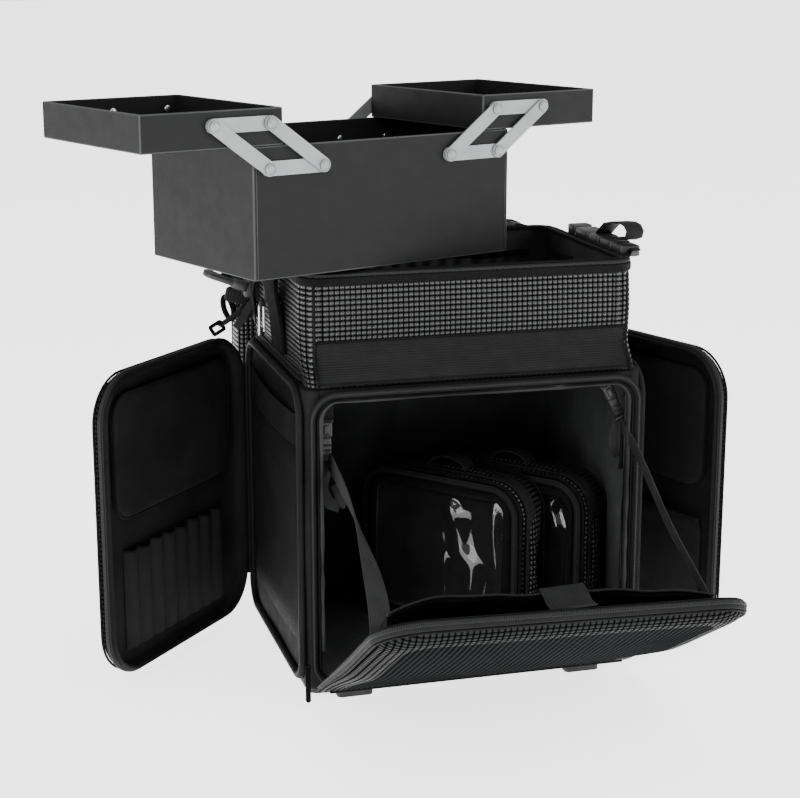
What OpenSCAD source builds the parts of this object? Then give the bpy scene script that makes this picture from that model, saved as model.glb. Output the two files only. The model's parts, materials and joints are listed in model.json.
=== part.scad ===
// Soft trolley case with a cantilever tray box, drop front, side doors and hung-back lid.
// X runs across the front, -Y is the front, Z is up; z = 0 is the underside of the base board.

/* [Case body] */

// outer width of the lower body
case_w = 360; // [320:5:420]
// outer depth of the lower body
case_d = 280; // [240:5:320]
// height of the lower body above the base board's underside
body_h = 321; // [280:1:360]
// step at each side from the lower body to the upper section
upper_in = 5; // [2:0.5:10]
// how much shallower the upper section is than the lower body
upper_cut = 24; // [16:2:40]
// how far the upper section sits back from the middle of the lower body
upper_back = 6; // [0:1:10]
// height of the upper section
upper_h = 111; // [90:1:130]
// thickness of the padded outer walls
wall = 6; // [4:0.5:8]
// thickness of the inner lining
liner = 2; // [1.5:0.5:3]
// thickness of the base board
board_t = 5; // [4:1:8]
// corner radius of the lower body
body_r = 14; // [8:1:24]
// corner radius of the upper section
upper_r = 22; // [14:1:30]
// drop from the base board to the floor
foot_h = 12; // [10:1:20]

/* [Front opening] */

// margin of the body beside the front opening
open_side = 16; // [12:1:30]
// lower edge of the front opening
open_z0 = 14; // [12:1:30]
// margin of the body above the front opening
open_top = 9; // [8:1:24]
// corner radius of the front opening
open_r = 22; // [12:1:40]
// thickness of the front frame
frame_t = 6; // [4:0.5:8]
// width of the zip coil
zip_w = 4; // [3:0.5:6]
// height of the zip coil
zip_t = 2.5; // [2:0.5:4]

/* [Drop panel] */

// how far the drop panel is open
panel_open = 57; // [0:1:80]
// how far the drop panel's sides stay inside the body's
panel_side = 6; // [5:1:20]
// how much shorter the drop panel is than the lower body
panel_short = 11; // [9:1:30]
// depth of the drop panel with its rim
panel_t = 16; // [12:1:24]
// corner radius of the drop panel's free edge
panel_r = 44; // [20:1:60]

/* [Side doors] */

// how far the left door is open
left_open = 42; // [0:1:90]
// how far the right door is open
right_open = 19; // [0:1:90]
// how much narrower a side door is than the body is deep
door_narrow = 12; // [8:1:30]
// how much taller a side door is than the lower body
door_tall = 1; // [-10:1:3]
// depth of a side door with its rim
door_t = 18; // [14:1:24]
// corner radius of a side door
door_r = 50; // [20:1:60]

/* [Lid] */

// how much wider the lid is than the lower body
lid_over = 4; // [0:1:10]
// how much longer the lid is than the upper section is deep
lid_long = 2; // [0:1:10]
// depth of the lid
lid_d = 50; // [40:1:60]
// distance from the back of the rim to the lid's hinge rod
lid_out = 56; // [50:1:70]

/* [Tray box] */

// length of the tray box
box_l = 310; // [290:1:340]
// depth of the tray box
box_w = 195; // [160:1:200]
// height of the tray box
box_h = 127; // [100:1:130]
// thickness of the tray box walls
box_t = 4; // [3:0.5:5]
// turn of the tray box about the vertical
box_turn = 21; // [0:1:30]
// height of a cantilever tray
tray_h = 35.5; // [30:0.5:50]
// gap between the two trays when closed
tray_gap = 6; // [4:1:10]
// sideways reach of an open swing bar
reach = 59; // [50:1:70]
// box pivot depth below the box top
pivot_low = 21; // [16:1:30]
// tray pivot height above the tray underside
pivot_up = 21.5; // [16:0.5:30]
// first box pivot from the box end
pivot_a = 16; // [15:1:30]
// second box pivot from the box end
pivot_b = 78; // [70:1:95]
// width of the swing bars
bar_w = 14; // [10:1:18]
// thickness of the swing bars
bar_t = 2; // [1.5:0.5:3]
// radius of the pivot pins
pin_r = 3; // [2:0.5:4]

/* [Trolley handle and wheels] */

// half spacing of the handle tubes
tube_x = 52; // [40:1:70]
// outer radius of the fixed tubes
tube_r = 9; // [8:0.5:11]
// handle stand-off behind the case
tube_out = 32; // [26:1:34]
// wheel radius
wheel_r = 26; // [20:1:35]
// wheel width
wheel_w = 20; // [16:1:26]
// distance of the wheels from the body's sides
wheel_in = 37; // [30:1:60]

/* [Pouches] */

// length of a pouch
pouch_l = 205; // [150:1:220]
// thickness of a pouch
pouch_t = 55; // [40:1:60]
// height of a pouch
pouch_h = 180; // [120:1:190]
// turn of the pouches about the vertical
pouch_turn = -50; // [-60:1:0]

/* [Hidden] */

arc = 48;
fine = 32;
run = 0.05;
seat = 0.3;
front_y = -case_d/2;
back_y = case_d/2;
side_x = case_w/2;
upper_w = case_w - 2*upper_in;
upper_d = case_d - upper_cut;
rim_z = body_h + upper_h;
open_hw = side_x - open_side;
open_z1 = body_h - open_top;
panel_hw = side_x - panel_side;
panel_h = body_h - panel_short;
door_w = case_d - door_narrow;
door_h = body_h + door_tall;
lid_w = case_w + lid_over;
lid_l = upper_d + lid_long;
tube_y = back_y + tube_out;
wheel_x = side_x - wheel_in;
in_x = side_x - wall - liner;
in_y = case_d/2 - wall - liner;
floor_in = board_t + wall + liner;
ceil_in = body_h - wall - liner;
open_h = open_z1 - open_z0;
open_zc = (open_z1 + open_z0)/2;
up_y0 = upper_back - upper_d/2;
up_y1 = upper_back + upper_d/2;
frame_w = 7;
tape_w = 12;
tape_t = 2.5;
rim_top = rim_z + tape_t + zip_t;
panel_y = front_y - frame_t - zip_t - 0.7;
bead_r = 2;
hinge_y = front_y - frame_t - zip_t - 0.4 - bead_r;
hinge_z = 8.5;
door_x = side_x + 7;
door_y = back_y - 6;
door_z = 3;
skin = 4;
piping_r = 1.6;
band_z0 = body_h + 7;
band_z1 = body_h + 44;
lid_y = up_y1 + lid_out;
lid_z = rim_z - 1;
rod_r = 1.6;
box_z = rim_top + seat;
tray_l = (box_l - tray_gap)/2;
rise = pivot_low + seat + pivot_up;
link_l = sqrt(reach*reach + rise*rise);
link_a = atan2(rise, reach);
corner_x = -side_x - 51.5;
corner_y = front_y - 26.5;
tube_z0 = 16;
tube_top = rim_z - 34;
bracket_hw = tube_x + 16;
bracket_low = 36;
bracket_high = 24;
bracket_lip = 12;
foot_w = 38;
foot_d = 24;
foot_x = side_x - 54;
mid_r = 7.5;
rod_in_r = 5.6;
wheel_y = back_y - 14;
wheel_z = wheel_r - foot_h;
house_w = 36;
house_d = 52;
house_h = 48;
pouch_side = 89;
pouch_front = 126;
pouch_step = [72, 3];
pouch_2_at = [in_x - pouch_side, front_y + pouch_front];
pouch_1_at = pouch_2_at - pouch_step;
pouch_z = floor_in + seat;
strap_w = 22;
strap_t = 1.6;
buckle_low = 63;
strap_short = 74;
strap_top_z = ceil_in - buckle_low;
strap_at = panel_h - strap_short;

// flat shapes

module rrect(w, h, r) {
  square([w - 2*r, h], center = true);
  square([w, h - 2*r], center = true);
  for (i = [-1, 1], j = [-1, 1])
    translate([i*(w/2 - r), j*(h/2 - r)]) circle(r = r, $fn = arc);
}

module rring(w, h, r, t) {
  difference() {
    rrect(w, h, r);
    rrect(w - 2*t, h - 2*t, max(r - t, 1));
  }
}

// a plate with two round corners at the far end of y
module flap2(w, h, r) {
  translate([-w/2, 0]) square([w, h - r]);
  translate([-w/2 + r, 0]) square([w - 2*r, h]);
  for (i = [-1, 1]) translate([i*(w/2 - r), h - r]) circle(r = r, $fn = arc);
}

// extrudes a flat shape toward the front, starting at y0
module toward_front(y0, t) translate([0, y0, 0]) rotate([90, 0, 0]) linear_extrude(t) children();

// extrudes a flat (y, z) shape toward +X, starting at x0
module toward_right(x0, t) translate([x0, 0, 0]) rotate([90, 0, 90]) linear_extrude(t) children();

module rod_x(r, x0, x1, y, z, n = fine)
  translate([x0, y, z]) rotate([0, 90, 0]) cylinder(r = r, h = x1 - x0, $fn = n);

module rod_y(r, y0, y1, x, z, n = fine)
  translate([x, y1, z]) rotate([90, 0, 0]) cylinder(r = r, h = y1 - y0, $fn = n);

module upper_at(z0, h) translate([0, upper_back, z0]) linear_extrude(h) children();

// the room that the wheel housings take out of the lower body
module housing_room(grow = 0)
  for (s = [-1, 1])
    translate([s*wheel_x - house_w/2 - grow, back_y - house_d + 6 - grow, -1])
      cube([house_w + 2*grow, house_d + 20, house_h + 1 + grow]);

// lower body

module foot_outline()
  for (s = [-1, 1]) translate([s*foot_x, front_y + foot_d]) rrect(foot_w, foot_d, 5);

module base_board() {
  color("#1c1c1e") difference() {
    linear_extrude(board_t) rrect(case_w - 4, case_d - 4, body_r - 2);
    housing_room();
    translate([0, 0, -1]) linear_extrude(board_t + 2) foot_outline();
  }
}

module lower_shell() {
  color("#2a2a2c") difference() {
    translate([0, 0, board_t]) linear_extrude(body_h - board_t) rrect(case_w, case_d, body_r);
    translate([0, 0, board_t + wall]) linear_extrude(body_h - board_t - 2*wall)
      rrect(case_w - 2*wall, case_d - 2*wall, body_r - wall);
    toward_front(front_y + wall + 2, wall + 6)
      translate([0, open_zc]) rrect(2*open_hw, open_h, open_r);
    housing_room();
  }
}

module lower_lining() {
  color("#151517") difference() {
    translate([0, 0, board_t + wall]) linear_extrude(body_h - board_t - 2*wall)
      rrect(case_w - 2*wall, case_d - 2*wall, body_r - wall);
    translate([0, 0, floor_in]) linear_extrude(ceil_in - floor_in)
      rrect(2*in_x, 2*in_y, body_r - wall - liner);
    toward_front(front_y + wall + liner + 2, wall + liner + 6)
      translate([0, open_zc]) rrect(2*open_hw, open_h, open_r);
    housing_room();
  }
}

module front_frame() {
  color("#222225") toward_front(front_y, frame_t)
    translate([0, open_zc]) rring(2*open_hw + 24, open_h + 14, open_r + 7, frame_w);
}

module front_flap() {
  color("#6a6a6d") difference() {
    toward_front(front_y, frame_t + 1.5)
      translate([0, open_zc]) rring(2*open_hw + 10, open_h, open_r, 5);
    translate([-case_w, front_y - 20, 0]) cube([2*case_w, 40, open_z0 + open_r + 10]);
  }
}

module side_frame(x0) {
  toward_right(x0, 5) translate([0, open_zc + 2]) rring(case_d - 8, open_h + 20, 34, 9);
}

module side_frames() {
  color("#222225") {
    side_frame(side_x);
    side_frame(-side_x - 5);
  }
}

// slider blocks that carry the two hanging pulls
module slider_blocks() {
  difference() {
    union() {
      translate([pull_x - 3.5, front_y - 3.5, pull_z - 4]) cube([7.8, 7.2, 8]);
      translate([pull_x + 4, front_y + 0.1, pull_z - 4]) cube([6, 3.6, 8]);
    }
    linear_extrude(body_h) rrect(case_w, case_d, body_r);
  }
  rod_y(1.2, pull_y - 3, front_y - 3, pull_x, pull_z);
  translate([-upper_w/2 - 4, rimpull_y - 6, rimpull_z - 5]) cube([2.5, 12, 12]);
  for (k = [-6, 3.7])
    translate([rimpull_x - 3.2, rimpull_y + k, rimpull_z - 4]) cube([7, 2.3, 8]);
  rod_y(1.2, rimpull_y - 5, rimpull_y + 5, rimpull_x, rimpull_z);
}

// the zip of a side door runs round three sides and leaves the hinge side free
module side_zip(x0) {
  difference() {
    toward_right(x0, 1.7) translate([0, open_zc + 2]) rring(case_d - 12, open_h + 16, 32, zip_w);
    translate([x0 - 1, back_y - 14, open_z0 + 16]) cube([4, 14, open_h - 28]);
  }
}

module body_zips() {
  color("#0c0c0d") {
    toward_front(front_y - frame_t, zip_t)
      translate([0, open_zc]) rring(2*open_hw + 21, open_h + 11, open_r + 5.5, zip_w);
    side_zip(side_x + 5);
    side_zip(-side_x - 6.7);
    slider_blocks();
  }
}

mesh_hw = case_d/2 - 18;
mesh_z0 = 48;
mesh_z1 = body_h - 65;
elastic_h = 34;

module mesh_pocket(s) {
  difference() {
    translate([s > 0 ? side_x : -side_x - 5, -mesh_hw, mesh_z0])
      cube([5, 2*mesh_hw, mesh_z1 - mesh_z0]);
    translate([s > 0 ? side_x - 1 : -side_x - 3.5, -mesh_hw + 4, mesh_z0 + 4])
      cube([4.5, 2*mesh_hw - 8, mesh_z1 - mesh_z0]);
  }
}

module mesh_pockets() {
  color("#303032") {
    mesh_pocket(1);
    mesh_pocket(-1);
  }
}

band_bow = 8;
bow_r = (mesh_hw*mesh_hw + band_bow*band_bow)/(2*band_bow);

module elastic_band(s) {
  intersection() {
    translate([s > 0 ? side_x : -side_x - 20, -mesh_hw, mesh_z1]) cube([20, 2*mesh_hw, elastic_h]);
    translate([s*(side_x + band_bow - bow_r), 0, mesh_z1]) difference() {
      cylinder(r = bow_r, h = elastic_h, $fn = 240);
      translate([0, 0, -1]) cylinder(r = bow_r - 1.8, h = elastic_h + 2, $fn = 240);
    }
  }
}

module elastic_bands() {
  color("#111113") {
    elastic_band(1);
    elastic_band(-1);
  }
}

// upper section

module upper_shell() {
  color("#2a2a2c") difference() {
    upper_at(body_h, rim_z - body_h) rrect(upper_w, upper_d, upper_r);
    upper_at(body_h - 1, rim_z) rrect(upper_w - 2*wall, upper_d - 2*wall, upper_r - wall);
  }
}

module upper_lining() {
  color("#17171a") difference() {
    upper_at(body_h, rim_z - body_h) rrect(upper_w - 2*wall, upper_d - 2*wall, upper_r - wall);
    upper_at(body_h + 3, rim_z)
      rrect(upper_w - 2*wall - 2*liner, upper_d - 2*wall - 2*liner, upper_r - wall - liner);
  }
}

module web_band() {
  color("#1a1a1c") upper_at(band_z0, band_z1 - band_z0)
    rring(upper_w + 2.8, upper_d + 2.8, upper_r + 1.4, 1.4);
}

module rim_zip() {
  color("#101012") {
    upper_at(rim_z - 11, 11) rring(upper_w + 3, upper_d + 3, upper_r + 1.5, 1.5);
    upper_at(rim_z, tape_t) rring(upper_w + 3, upper_d + 3, upper_r + 1.5, tape_w);
    upper_at(rim_z + tape_t, zip_t) rring(upper_w - 4, upper_d - 4, upper_r - 2, zip_w);
  }
}

// webbing and buckles on the upper sides

patch = 26;
patch_y = up_y1 - patch - 12;
patch_z = rim_z - 60;
strap_wide = 46;
buckle_l = 54;
buckle_w = 24;
arch_y = up_y0 + 62;

module side_webbing() {
  color("#0e0e10") {
    translate([-upper_w/2 - 3.2, arch_y + 16, band_z0 + 10])
      cube([1.7, strap_wide, rim_z - band_z0 - 10]);
    translate([-upper_w/2 - 3.6, patch_y, patch_z]) cube([3.6, patch, patch]);
    translate([upper_w/2 + 1.5, arch_y - 38, rim_z - 24]) cube([2, 30, 24]);
    translate([upper_w/2 + 1.5, arch_y + 66, rim_z - 24]) cube([2, patch, 24]);
    toward_right(upper_w/2 + 3.5, 20) translate([arch_y, rim_z + 8]) difference() {
      circle(r = 30, $fn = arc);
      circle(r = 28, $fn = arc);
      translate([-40, -80]) square([80, 80]);
    }
  }
}

module buckle(l, w, t) {
  difference() {
    linear_extrude(t) rrect(l, w, 5);
    translate([l/2 - 8, 0, -1]) linear_extrude(t + 2) square([4, w - 8], center = true);
    translate([-l/4, 0, t/2]) linear_extrude(t) square([l/4, w - 6], center = true);
  }
}

module side_buckles() {
  color("#3a3a3d") {
    translate([-upper_w/2 - 3.6 - 28, patch_y + patch/2, patch_z + 6.6]) rotate([0, 12, 0])
      buckle(buckle_l, buckle_w, 7);
    translate([upper_w/2 + 3.5 + 10, arch_y + 84, rim_z - 3]) rotate([0, 0, 90])
      buckle(buckle_l + 6, buckle_w - 4, 9);
    translate([upper_w/2 + 3.5, arch_y - 32, rim_z - 4]) difference() {
      cube([20, 84, 12]);
      translate([3, 8, -1]) cube([14, 8, 14]);
      translate([3, 60, -1]) cube([14, 8, 14]);
    }
  }
}

// stay straps and their buckles

stay_x = in_x - 21;
panel_pt_y = hinge_y - strap_at*sin(panel_open) + 2.5*cos(panel_open);
panel_pt_z = hinge_z + strap_at*cos(panel_open) + 2.5*sin(panel_open);
strap_y0 = front_y + 9;
strap_dy = panel_pt_y - strap_y0;
strap_dz = panel_pt_z - strap_top_z;
strap_l = sqrt(strap_dy*strap_dy + strap_dz*strap_dz);
strap_tilt = atan2(-strap_dz, -strap_dy);

module stay_straps() {
  color("#252527") {
    translate([-stay_x, strap_y0, strap_top_z]) rotate([strap_tilt, 0, 0])
      translate([-strap_w/2, -strap_l + 2, 0]) cube([strap_w, strap_l - 2, strap_t]);
    translate([stay_x + 6, strap_y0, strap_top_z]) rotate([strap_tilt, 0, 0])
      translate([0, -strap_l + 12, 0]) cube([strap_t, strap_l - 12, 14]);
  }
}

module stay_buckles() {
  color("#1b1b1d") for (s = [-1, 1]) {
    translate([s*stay_x - 11, strap_y0, strap_top_z - 8]) cube([22, 8, 44]);
    translate([s*stay_x - 10, strap_y0 + 2, strap_top_z + 36])
      cube([20, 2, ceil_in - strap_top_z - 36]);
  }
}

// feet, wheels and trolley handle

module feet() {
  color("#0b0b0b") translate([0, 0, -foot_h]) linear_extrude(foot_h + board_t) foot_outline();
}

module wheel_housings() {
  color("#141416") difference() {
    for (s = [-1, 1])
      translate([s*wheel_x - house_w/2, back_y - house_d + 6, 0]) cube([house_w, house_d, house_h]);
    for (s = [-1, 1])
      translate([s*wheel_x - house_w/2 + 3, back_y - house_d + 9, -1])
        cube([house_w - 6, house_d, house_h - 2]);
    for (s = [-1, 1])
      rod_x(4, s*wheel_x - house_w, s*wheel_x + house_w, wheel_y, wheel_z);
  }
}

module wheel_axles() {
  color("#9a9a9c") for (s = [-1, 1])
    rod_x(4, s*wheel_x - house_w/2, s*wheel_x + house_w/2, wheel_y, wheel_z);
}

module tyre_at(x) {
  difference() {
    rod_x(wheel_r, x - wheel_w/2, x + wheel_w/2, wheel_y, wheel_z, 64);
    rod_x(wheel_r - 7, x - wheel_w/2 - 1, x + wheel_w/2 + 1, wheel_y, wheel_z, 64);
  }
}

module hub_at(x) {
  difference() {
    union() {
      rod_x(wheel_r - 7, x - wheel_w/2 + 1, x + wheel_w/2 - 1, wheel_y, wheel_z, 64);
      rod_x(9, x - wheel_w/2 - 1, x + wheel_w/2 + 1, wheel_y, wheel_z);
    }
    rod_x(4 + run, x - wheel_w, x + wheel_w, wheel_y, wheel_z);
    for (a = [0:72:288])
      translate([x, wheel_y, wheel_z]) rotate([a, 0, 0])
        translate([-wheel_w, -2.5, 10.5]) cube([2*wheel_w, 5, 5]);
  }
}

module wheel_left() { color("#101010") tyre_at(-wheel_x); }
module hub_left() { color("#3b3b3e") hub_at(-wheel_x); }
module wheel_right() { color("#101010") tyre_at(wheel_x); }
module hub_right() { color("#3b3b3e") hub_at(wheel_x); }

module handle_brackets() {
  color("#19191b") difference() {
    union() {
      translate([-bracket_hw, back_y, tube_z0])
        cube([2*bracket_hw, tube_y - back_y + bracket_lip, bracket_low]);
      translate([-bracket_hw, up_y1, tube_top - bracket_high])
        cube([2*bracket_hw, tube_y - up_y1 + bracket_lip, bracket_high]);
    }
    for (s = [-1, 1])
      translate([s*tube_x, tube_y, tube_z0 + 4]) cylinder(r = tube_r, h = tube_top, $fn = arc);
  }
}

module outer_tubes() {
  color("#8f8f92") for (s = [-1, 1])
    translate([s*tube_x, tube_y, tube_z0 + 4]) difference() {
      cylinder(r = tube_r, h = tube_top - tube_z0 - 4, $fn = arc);
      translate([0, 0, 2]) cylinder(r = mid_r + run, h = tube_top, $fn = arc);
    }
}

module mid_tubes() {
  color("#a5a5a8") for (s = [-1, 1])
    translate([s*tube_x, tube_y, tube_z0 + 7]) difference() {
      cylinder(r = mid_r, h = tube_top - tube_z0 - 3, $fn = arc);
      translate([0, 0, 2]) cylinder(r = rod_in_r + run, h = tube_top, $fn = arc);
    }
}

grip_z = tube_top + 16;

module inner_rods() {
  color("#b5b5b8") for (s = [-1, 1])
    translate([s*tube_x, tube_y, tube_z0 + 10])
      cylinder(r = rod_in_r, h = grip_z + 4 - tube_z0 - 10, $fn = arc);
}

module grip() {
  color("#111112") difference() {
    union() {
      translate([0, tube_y, grip_z]) linear_extrude(14) rrect(136, 24, 11);
      for (s = [-1, 1])
        translate([s*tube_x, tube_y, grip_z - 10]) cylinder(r = 11, h = 12, $fn = arc);
    }
    for (s = [-1, 1])
      translate([s*tube_x, tube_y, grip_z - 11]) cylinder(r = rod_in_r, h = 15, $fn = arc);
    translate([0, tube_y, grip_z + 8]) linear_extrude(10) rrect(28, 12, 5);
  }
}

module button() {
  color("#5a5a5d") translate([0, tube_y, grip_z + 11]) linear_extrude(5) rrect(27.4, 11.4, 4.7);
}

// drop panel, drawn closed and then swung open about its bottom hinge line

module swing_panel()
  translate([0, hinge_y, hinge_z]) rotate([panel_open, 0, 0]) translate([0, -hinge_y, -hinge_z])
    children();

module drop_shell() {
  color("#2a2a2c") swing_panel() difference() {
    union() {
      toward_front(panel_y, panel_t) translate([0, hinge_z]) flap2(2*panel_hw, panel_h, panel_r);
      rod_x(bead_r, -panel_hw + 4, panel_hw - 4, hinge_y, hinge_z);
    }
    toward_front(panel_y + 1, panel_t - skin + 1)
      translate([0, hinge_z + 5]) flap2(2*panel_hw - 12, panel_h - 11, panel_r - 6);
  }
}

module drop_zip() {
  color("#0c0c0d") swing_panel() difference() {
    toward_front(panel_y - 5, 4)
      translate([0, hinge_z + 2]) flap2(2*panel_hw + 5, panel_h + 0.5, panel_r + 2.5);
    toward_front(panel_y + 1, panel_t)
      translate([0, hinge_z]) flap2(2*panel_hw, panel_h, panel_r);
  }
}

pocket_h = 250;
pocket_w = 2*panel_hw - 72;
pocket_lean = 14;

// side view of the pocket, which leans away from the panel toward its open top
module pocket_side(in, foot, h)
  polygon([
    [panel_y - panel_t + skin - 2*in/3, hinge_z + foot],
    [panel_y - 1 - in, hinge_z + foot],
    [panel_y - 1 - in + pocket_lean, hinge_z + h],
    [panel_y - panel_t + skin - 2*in/3, hinge_z + h]
  ]);

module drop_pocket() {
  color("#1d1d20") swing_panel() difference() {
    toward_right(-pocket_w/2, pocket_w) pocket_side(0, 6, 6 + pocket_h);
    toward_right(-pocket_w/2 + 3, pocket_w - 6) pocket_side(2, 9, 7 + pocket_h);
  }
}

// side doors, drawn closed and then swung about their back edge

module swing_left()
  translate([-door_x, door_y, 0]) rotate([0, 0, -left_open]) translate([door_x, -door_y, 0])
    children();

module swing_right()
  translate([door_x, door_y, 0]) rotate([0, 0, right_open]) translate([-door_x, -door_y, 0])
    children();

module door_shell(s) {
  difference() {
    toward_right(s > 0 ? door_x : -door_x - door_t, door_t)
      translate([door_y - door_w/2, door_z + door_h/2]) rrect(door_w, door_h, door_r);
    toward_right(s > 0 ? door_x - 1 : -door_x - door_t + skin, door_t - skin + 1)
      translate([door_y - door_w/2, door_z + door_h/2]) rrect(door_w - 12, door_h - 12, door_r - 6);
  }
  translate([s*door_x, door_y, door_z + door_r + 2])
    cylinder(r = piping_r, h = door_h - 2*door_r - 4, $fn = fine);
}

module door_zip(s) {
  toward_right(s > 0 ? door_x + 5 : -door_x - 9, 4)
    translate([door_y - door_w/2, door_z + door_h/2])
      rring(door_w + 5, door_h + 5, door_r + 2.5, 2.5);
}

module door_flap_pocket(s) {
  x0 = s > 0 ? door_x + door_t - skin - 5 : -door_x - door_t + skin;
  toward_right(x0, 5) translate([door_y - door_w/2, door_z + door_h - 24 - 60])
    rrect(door_w - 52, 124, 22);
}

slots = 8;
slot_w = 24;

module door_left_shell() { color("#202023") swing_left() door_shell(-1); }
module door_left_zip() { color("#0c0c0d") swing_left() door_zip(-1); }

module door_left_pockets() {
  color("#1a1a1d") swing_left() {
    door_flap_pocket(-1);
    translate([-door_x - door_t + skin, door_y - door_w/2 - slots*slot_w/2, door_z + 22])
      cube([1.5, slots*slot_w, 110]);
    for (i = [0:slots - 1])
      translate([-door_x - door_t + skin + 1.5, door_y - door_w/2 + (i - slots/2 + 0.5)*slot_w,
        door_z + 22])
        intersection() {
          translate([-12, 0, 0]) difference() {
            cylinder(r = 16, h = 110, $fn = arc);
            translate([0, 0, 3]) cylinder(r = 15, h = 110, $fn = arc);
          }
          translate([0, -slot_w/2 + 0.6, 0]) cube([8, slot_w - 1.2, 110]);
        }
  }
}

module door_right_shell() { color("#202023") swing_right() door_shell(1); }
module door_right_zip() { color("#0c0c0d") swing_right() door_zip(1); }

module door_right_pockets() {
  color("#1a1a1d") swing_right() {
    door_flap_pocket(1);
    toward_right(door_x + door_t - skin - 6, 6)
      translate([door_y - door_w/2, door_z + 20 + 56]) rrect(door_w - 52, 112, 16);
  }
}

// lid, hanging behind the case from two tabs

tab_x = 120;
tab_w = 40;

module lid_tabs() {
  color("#141416") for (s = [-1, 1]) difference() {
    union() {
      translate([s*tab_x - tab_w/2, up_y1 + 1.5, lid_z - 1]) cube([tab_w, lid_out - 2.5, 2]);
      translate([s*tab_x - tab_w/2, up_y1 + 1.5, lid_z - 26]) cube([tab_w, 2, 26]);
      rod_x(3.6, s*tab_x - tab_w/2, s*tab_x + tab_w/2, lid_y, lid_z);
    }
    rod_x(rod_r + run, s*tab_x - tab_w, s*tab_x + tab_w, lid_y, lid_z);
  }
}

lid_top = lid_z - 5;
lid_y0 = lid_y - 3;

module lid_shell() {
  color("#2a2a2c") {
    difference() {
      toward_front(lid_y0 + lid_d, lid_d) translate([0, lid_top - lid_l/2]) rrect(lid_w, lid_l, 24);
      toward_front(lid_y0 + lid_d + 1, lid_d - skin + 1)
        translate([0, lid_top - lid_l/2]) rrect(lid_w - 10, lid_l - 10, 19);
    }
    for (s = [-1, 1], k = [-1, 1])
      translate([s*tab_x + k*(tab_w/2 + 2.5) - 2, lid_y - 3, lid_top - 2]) cube([4, 6, 9]);
    for (s = [-1, 1])
      rod_x(rod_r, s*tab_x - tab_w/2 - 4.5, s*tab_x + tab_w/2 + 4.5, lid_y, lid_z);
  }
}

module lid_zip() {
  color("#0c0c0d") toward_front(lid_y0 + lid_d + zip_t, zip_t)
    translate([0, lid_top - lid_l/2]) rring(lid_w, lid_l, 24, zip_w);
}

module lid_loop() {
  color("#0d0d0e") translate([-lid_w/2, lid_y0 + 24, lid_top - 86]) rotate([90, 0, 0])
    rotate([0, 0, 90]) rotate_extrude(angle = 180, $fn = arc) translate([13, 0]) circle(r = 4.5, $fn = 24);
}

// zip pulls

pull_x = -side_x - 0.5;
pull_y = front_y - 5;
pull_z = 33;

module front_pull() {
  color("#19191b") difference() {
    translate([pull_x, pull_y + 1, 0]) rotate([90, 0, 0]) linear_extrude(2) {
      translate([-2.6, -3]) square([5.2, pull_z + 3]);
      translate([0, pull_z]) circle(r = 2.8, $fn = fine);
      translate([0, -3]) circle(r = 2.8, $fn = fine);
    }
    rod_y(1.2 + run, pull_y - 5, pull_y + 5, pull_x, pull_z);
  }
}

rimpull_x = -upper_w/2 - 7.4;
rimpull_y = 33;
rimpull_z = rim_z - 8;

module rim_pull() {
  color("#c4c4c7") difference() {
    union() {
      rod_y(2.6, rimpull_y - 3.2, rimpull_y + 3.2, rimpull_x, rimpull_z);
      toward_right(rimpull_x - 1, 2) translate([rimpull_y, rimpull_z]) {
        translate([-2.2, -50]) square([4.4, 50]);
        difference() {
          translate([-4, -78]) square([8, 32]);
          translate([-1.6, -74]) square([3.2, 20]);
        }
      }
    }
    rod_y(1.2 + run, rimpull_y - 9, rimpull_y + 9, rimpull_x, rimpull_z);
  }
}

// tray box with two cantilever trays, drawn along x and then turned

module turn_box() translate([corner_x, corner_y, box_z]) rotate([0, 0, box_turn]) children();

module box_shell() {
  color("#45454a") turn_box() difference() {
    cube([box_l, box_w, box_h]);
    translate([box_t, box_t, box_t]) cube([box_l - 2*box_t, box_w - 2*box_t, box_h]);
  }
}

// a flat bar with round ends between two points of the (x, z) plane
module flat_bar(p, q, y0, t, w = bar_w) {
  d = q - p;
  translate([p[0], y0 + t, p[1]]) rotate([0, -atan2(d[1], d[0]), 0]) rotate([90, 0, 0])
    linear_extrude(t) {
      translate([0, -w/2]) square([norm(d), w]);
      circle(r = w/2, $fn = fine);
      translate([norm(d), 0]) circle(r = w/2, $fn = fine);
    }
}

// a pivot pin with a domed head, pointing out of the front (s = -1) or back (s = 1) face
module pivot(p, s) {
  y0 = s < 0 ? 0 : box_w;
  l = bar_t*2 + 1.2;
  translate([p[0], y0, p[1]]) rotate([s < 0 ? 90 : -90, 0, 0]) {
    cylinder(r = pin_r, h = l + 0.5, $fn = fine);
    translate([0, 0, l]) cylinder(r = 5.5, h = 1, $fn = fine);
    translate([0, 0, l + 1]) cylinder(r1 = 5.5, r2 = 3.2, h = 1.4, $fn = fine);
  }
}

function mirror_s(p, side) = side < 0 ? p : [box_l - p[0], p[1]];
function box_pt(k, side) = mirror_s([k, box_h - pivot_low], side);
function tray_pt(k, side) = mirror_s([k - reach, box_h - pivot_low + rise], side);

module fixed_bars(a, b) {
  for (y0 = [-bar_t, box_w]) flat_bar(a, b, y0, bar_t);
  for (p = [a, b], s = [-1, 1]) pivot(p, s);
}

module box_bars() {
  color("#b9b9bc") turn_box() for (side = [-1, 1])
    fixed_bars(box_pt(pivot_a, side), box_pt(pivot_b, side));
}

module swing_bars(k, side) {
  turn_box() difference() {
    for (y0 = [-2*bar_t - 0.6, box_w + bar_t + 0.6])
      flat_bar(box_pt(k, side), tray_pt(k, side), y0, bar_t);
    for (p = [box_pt(k, side), tray_pt(k, side)])
      rod_y(pin_r + run, -20, box_w + 20, p[0], p[1]);
  }
}

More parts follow.
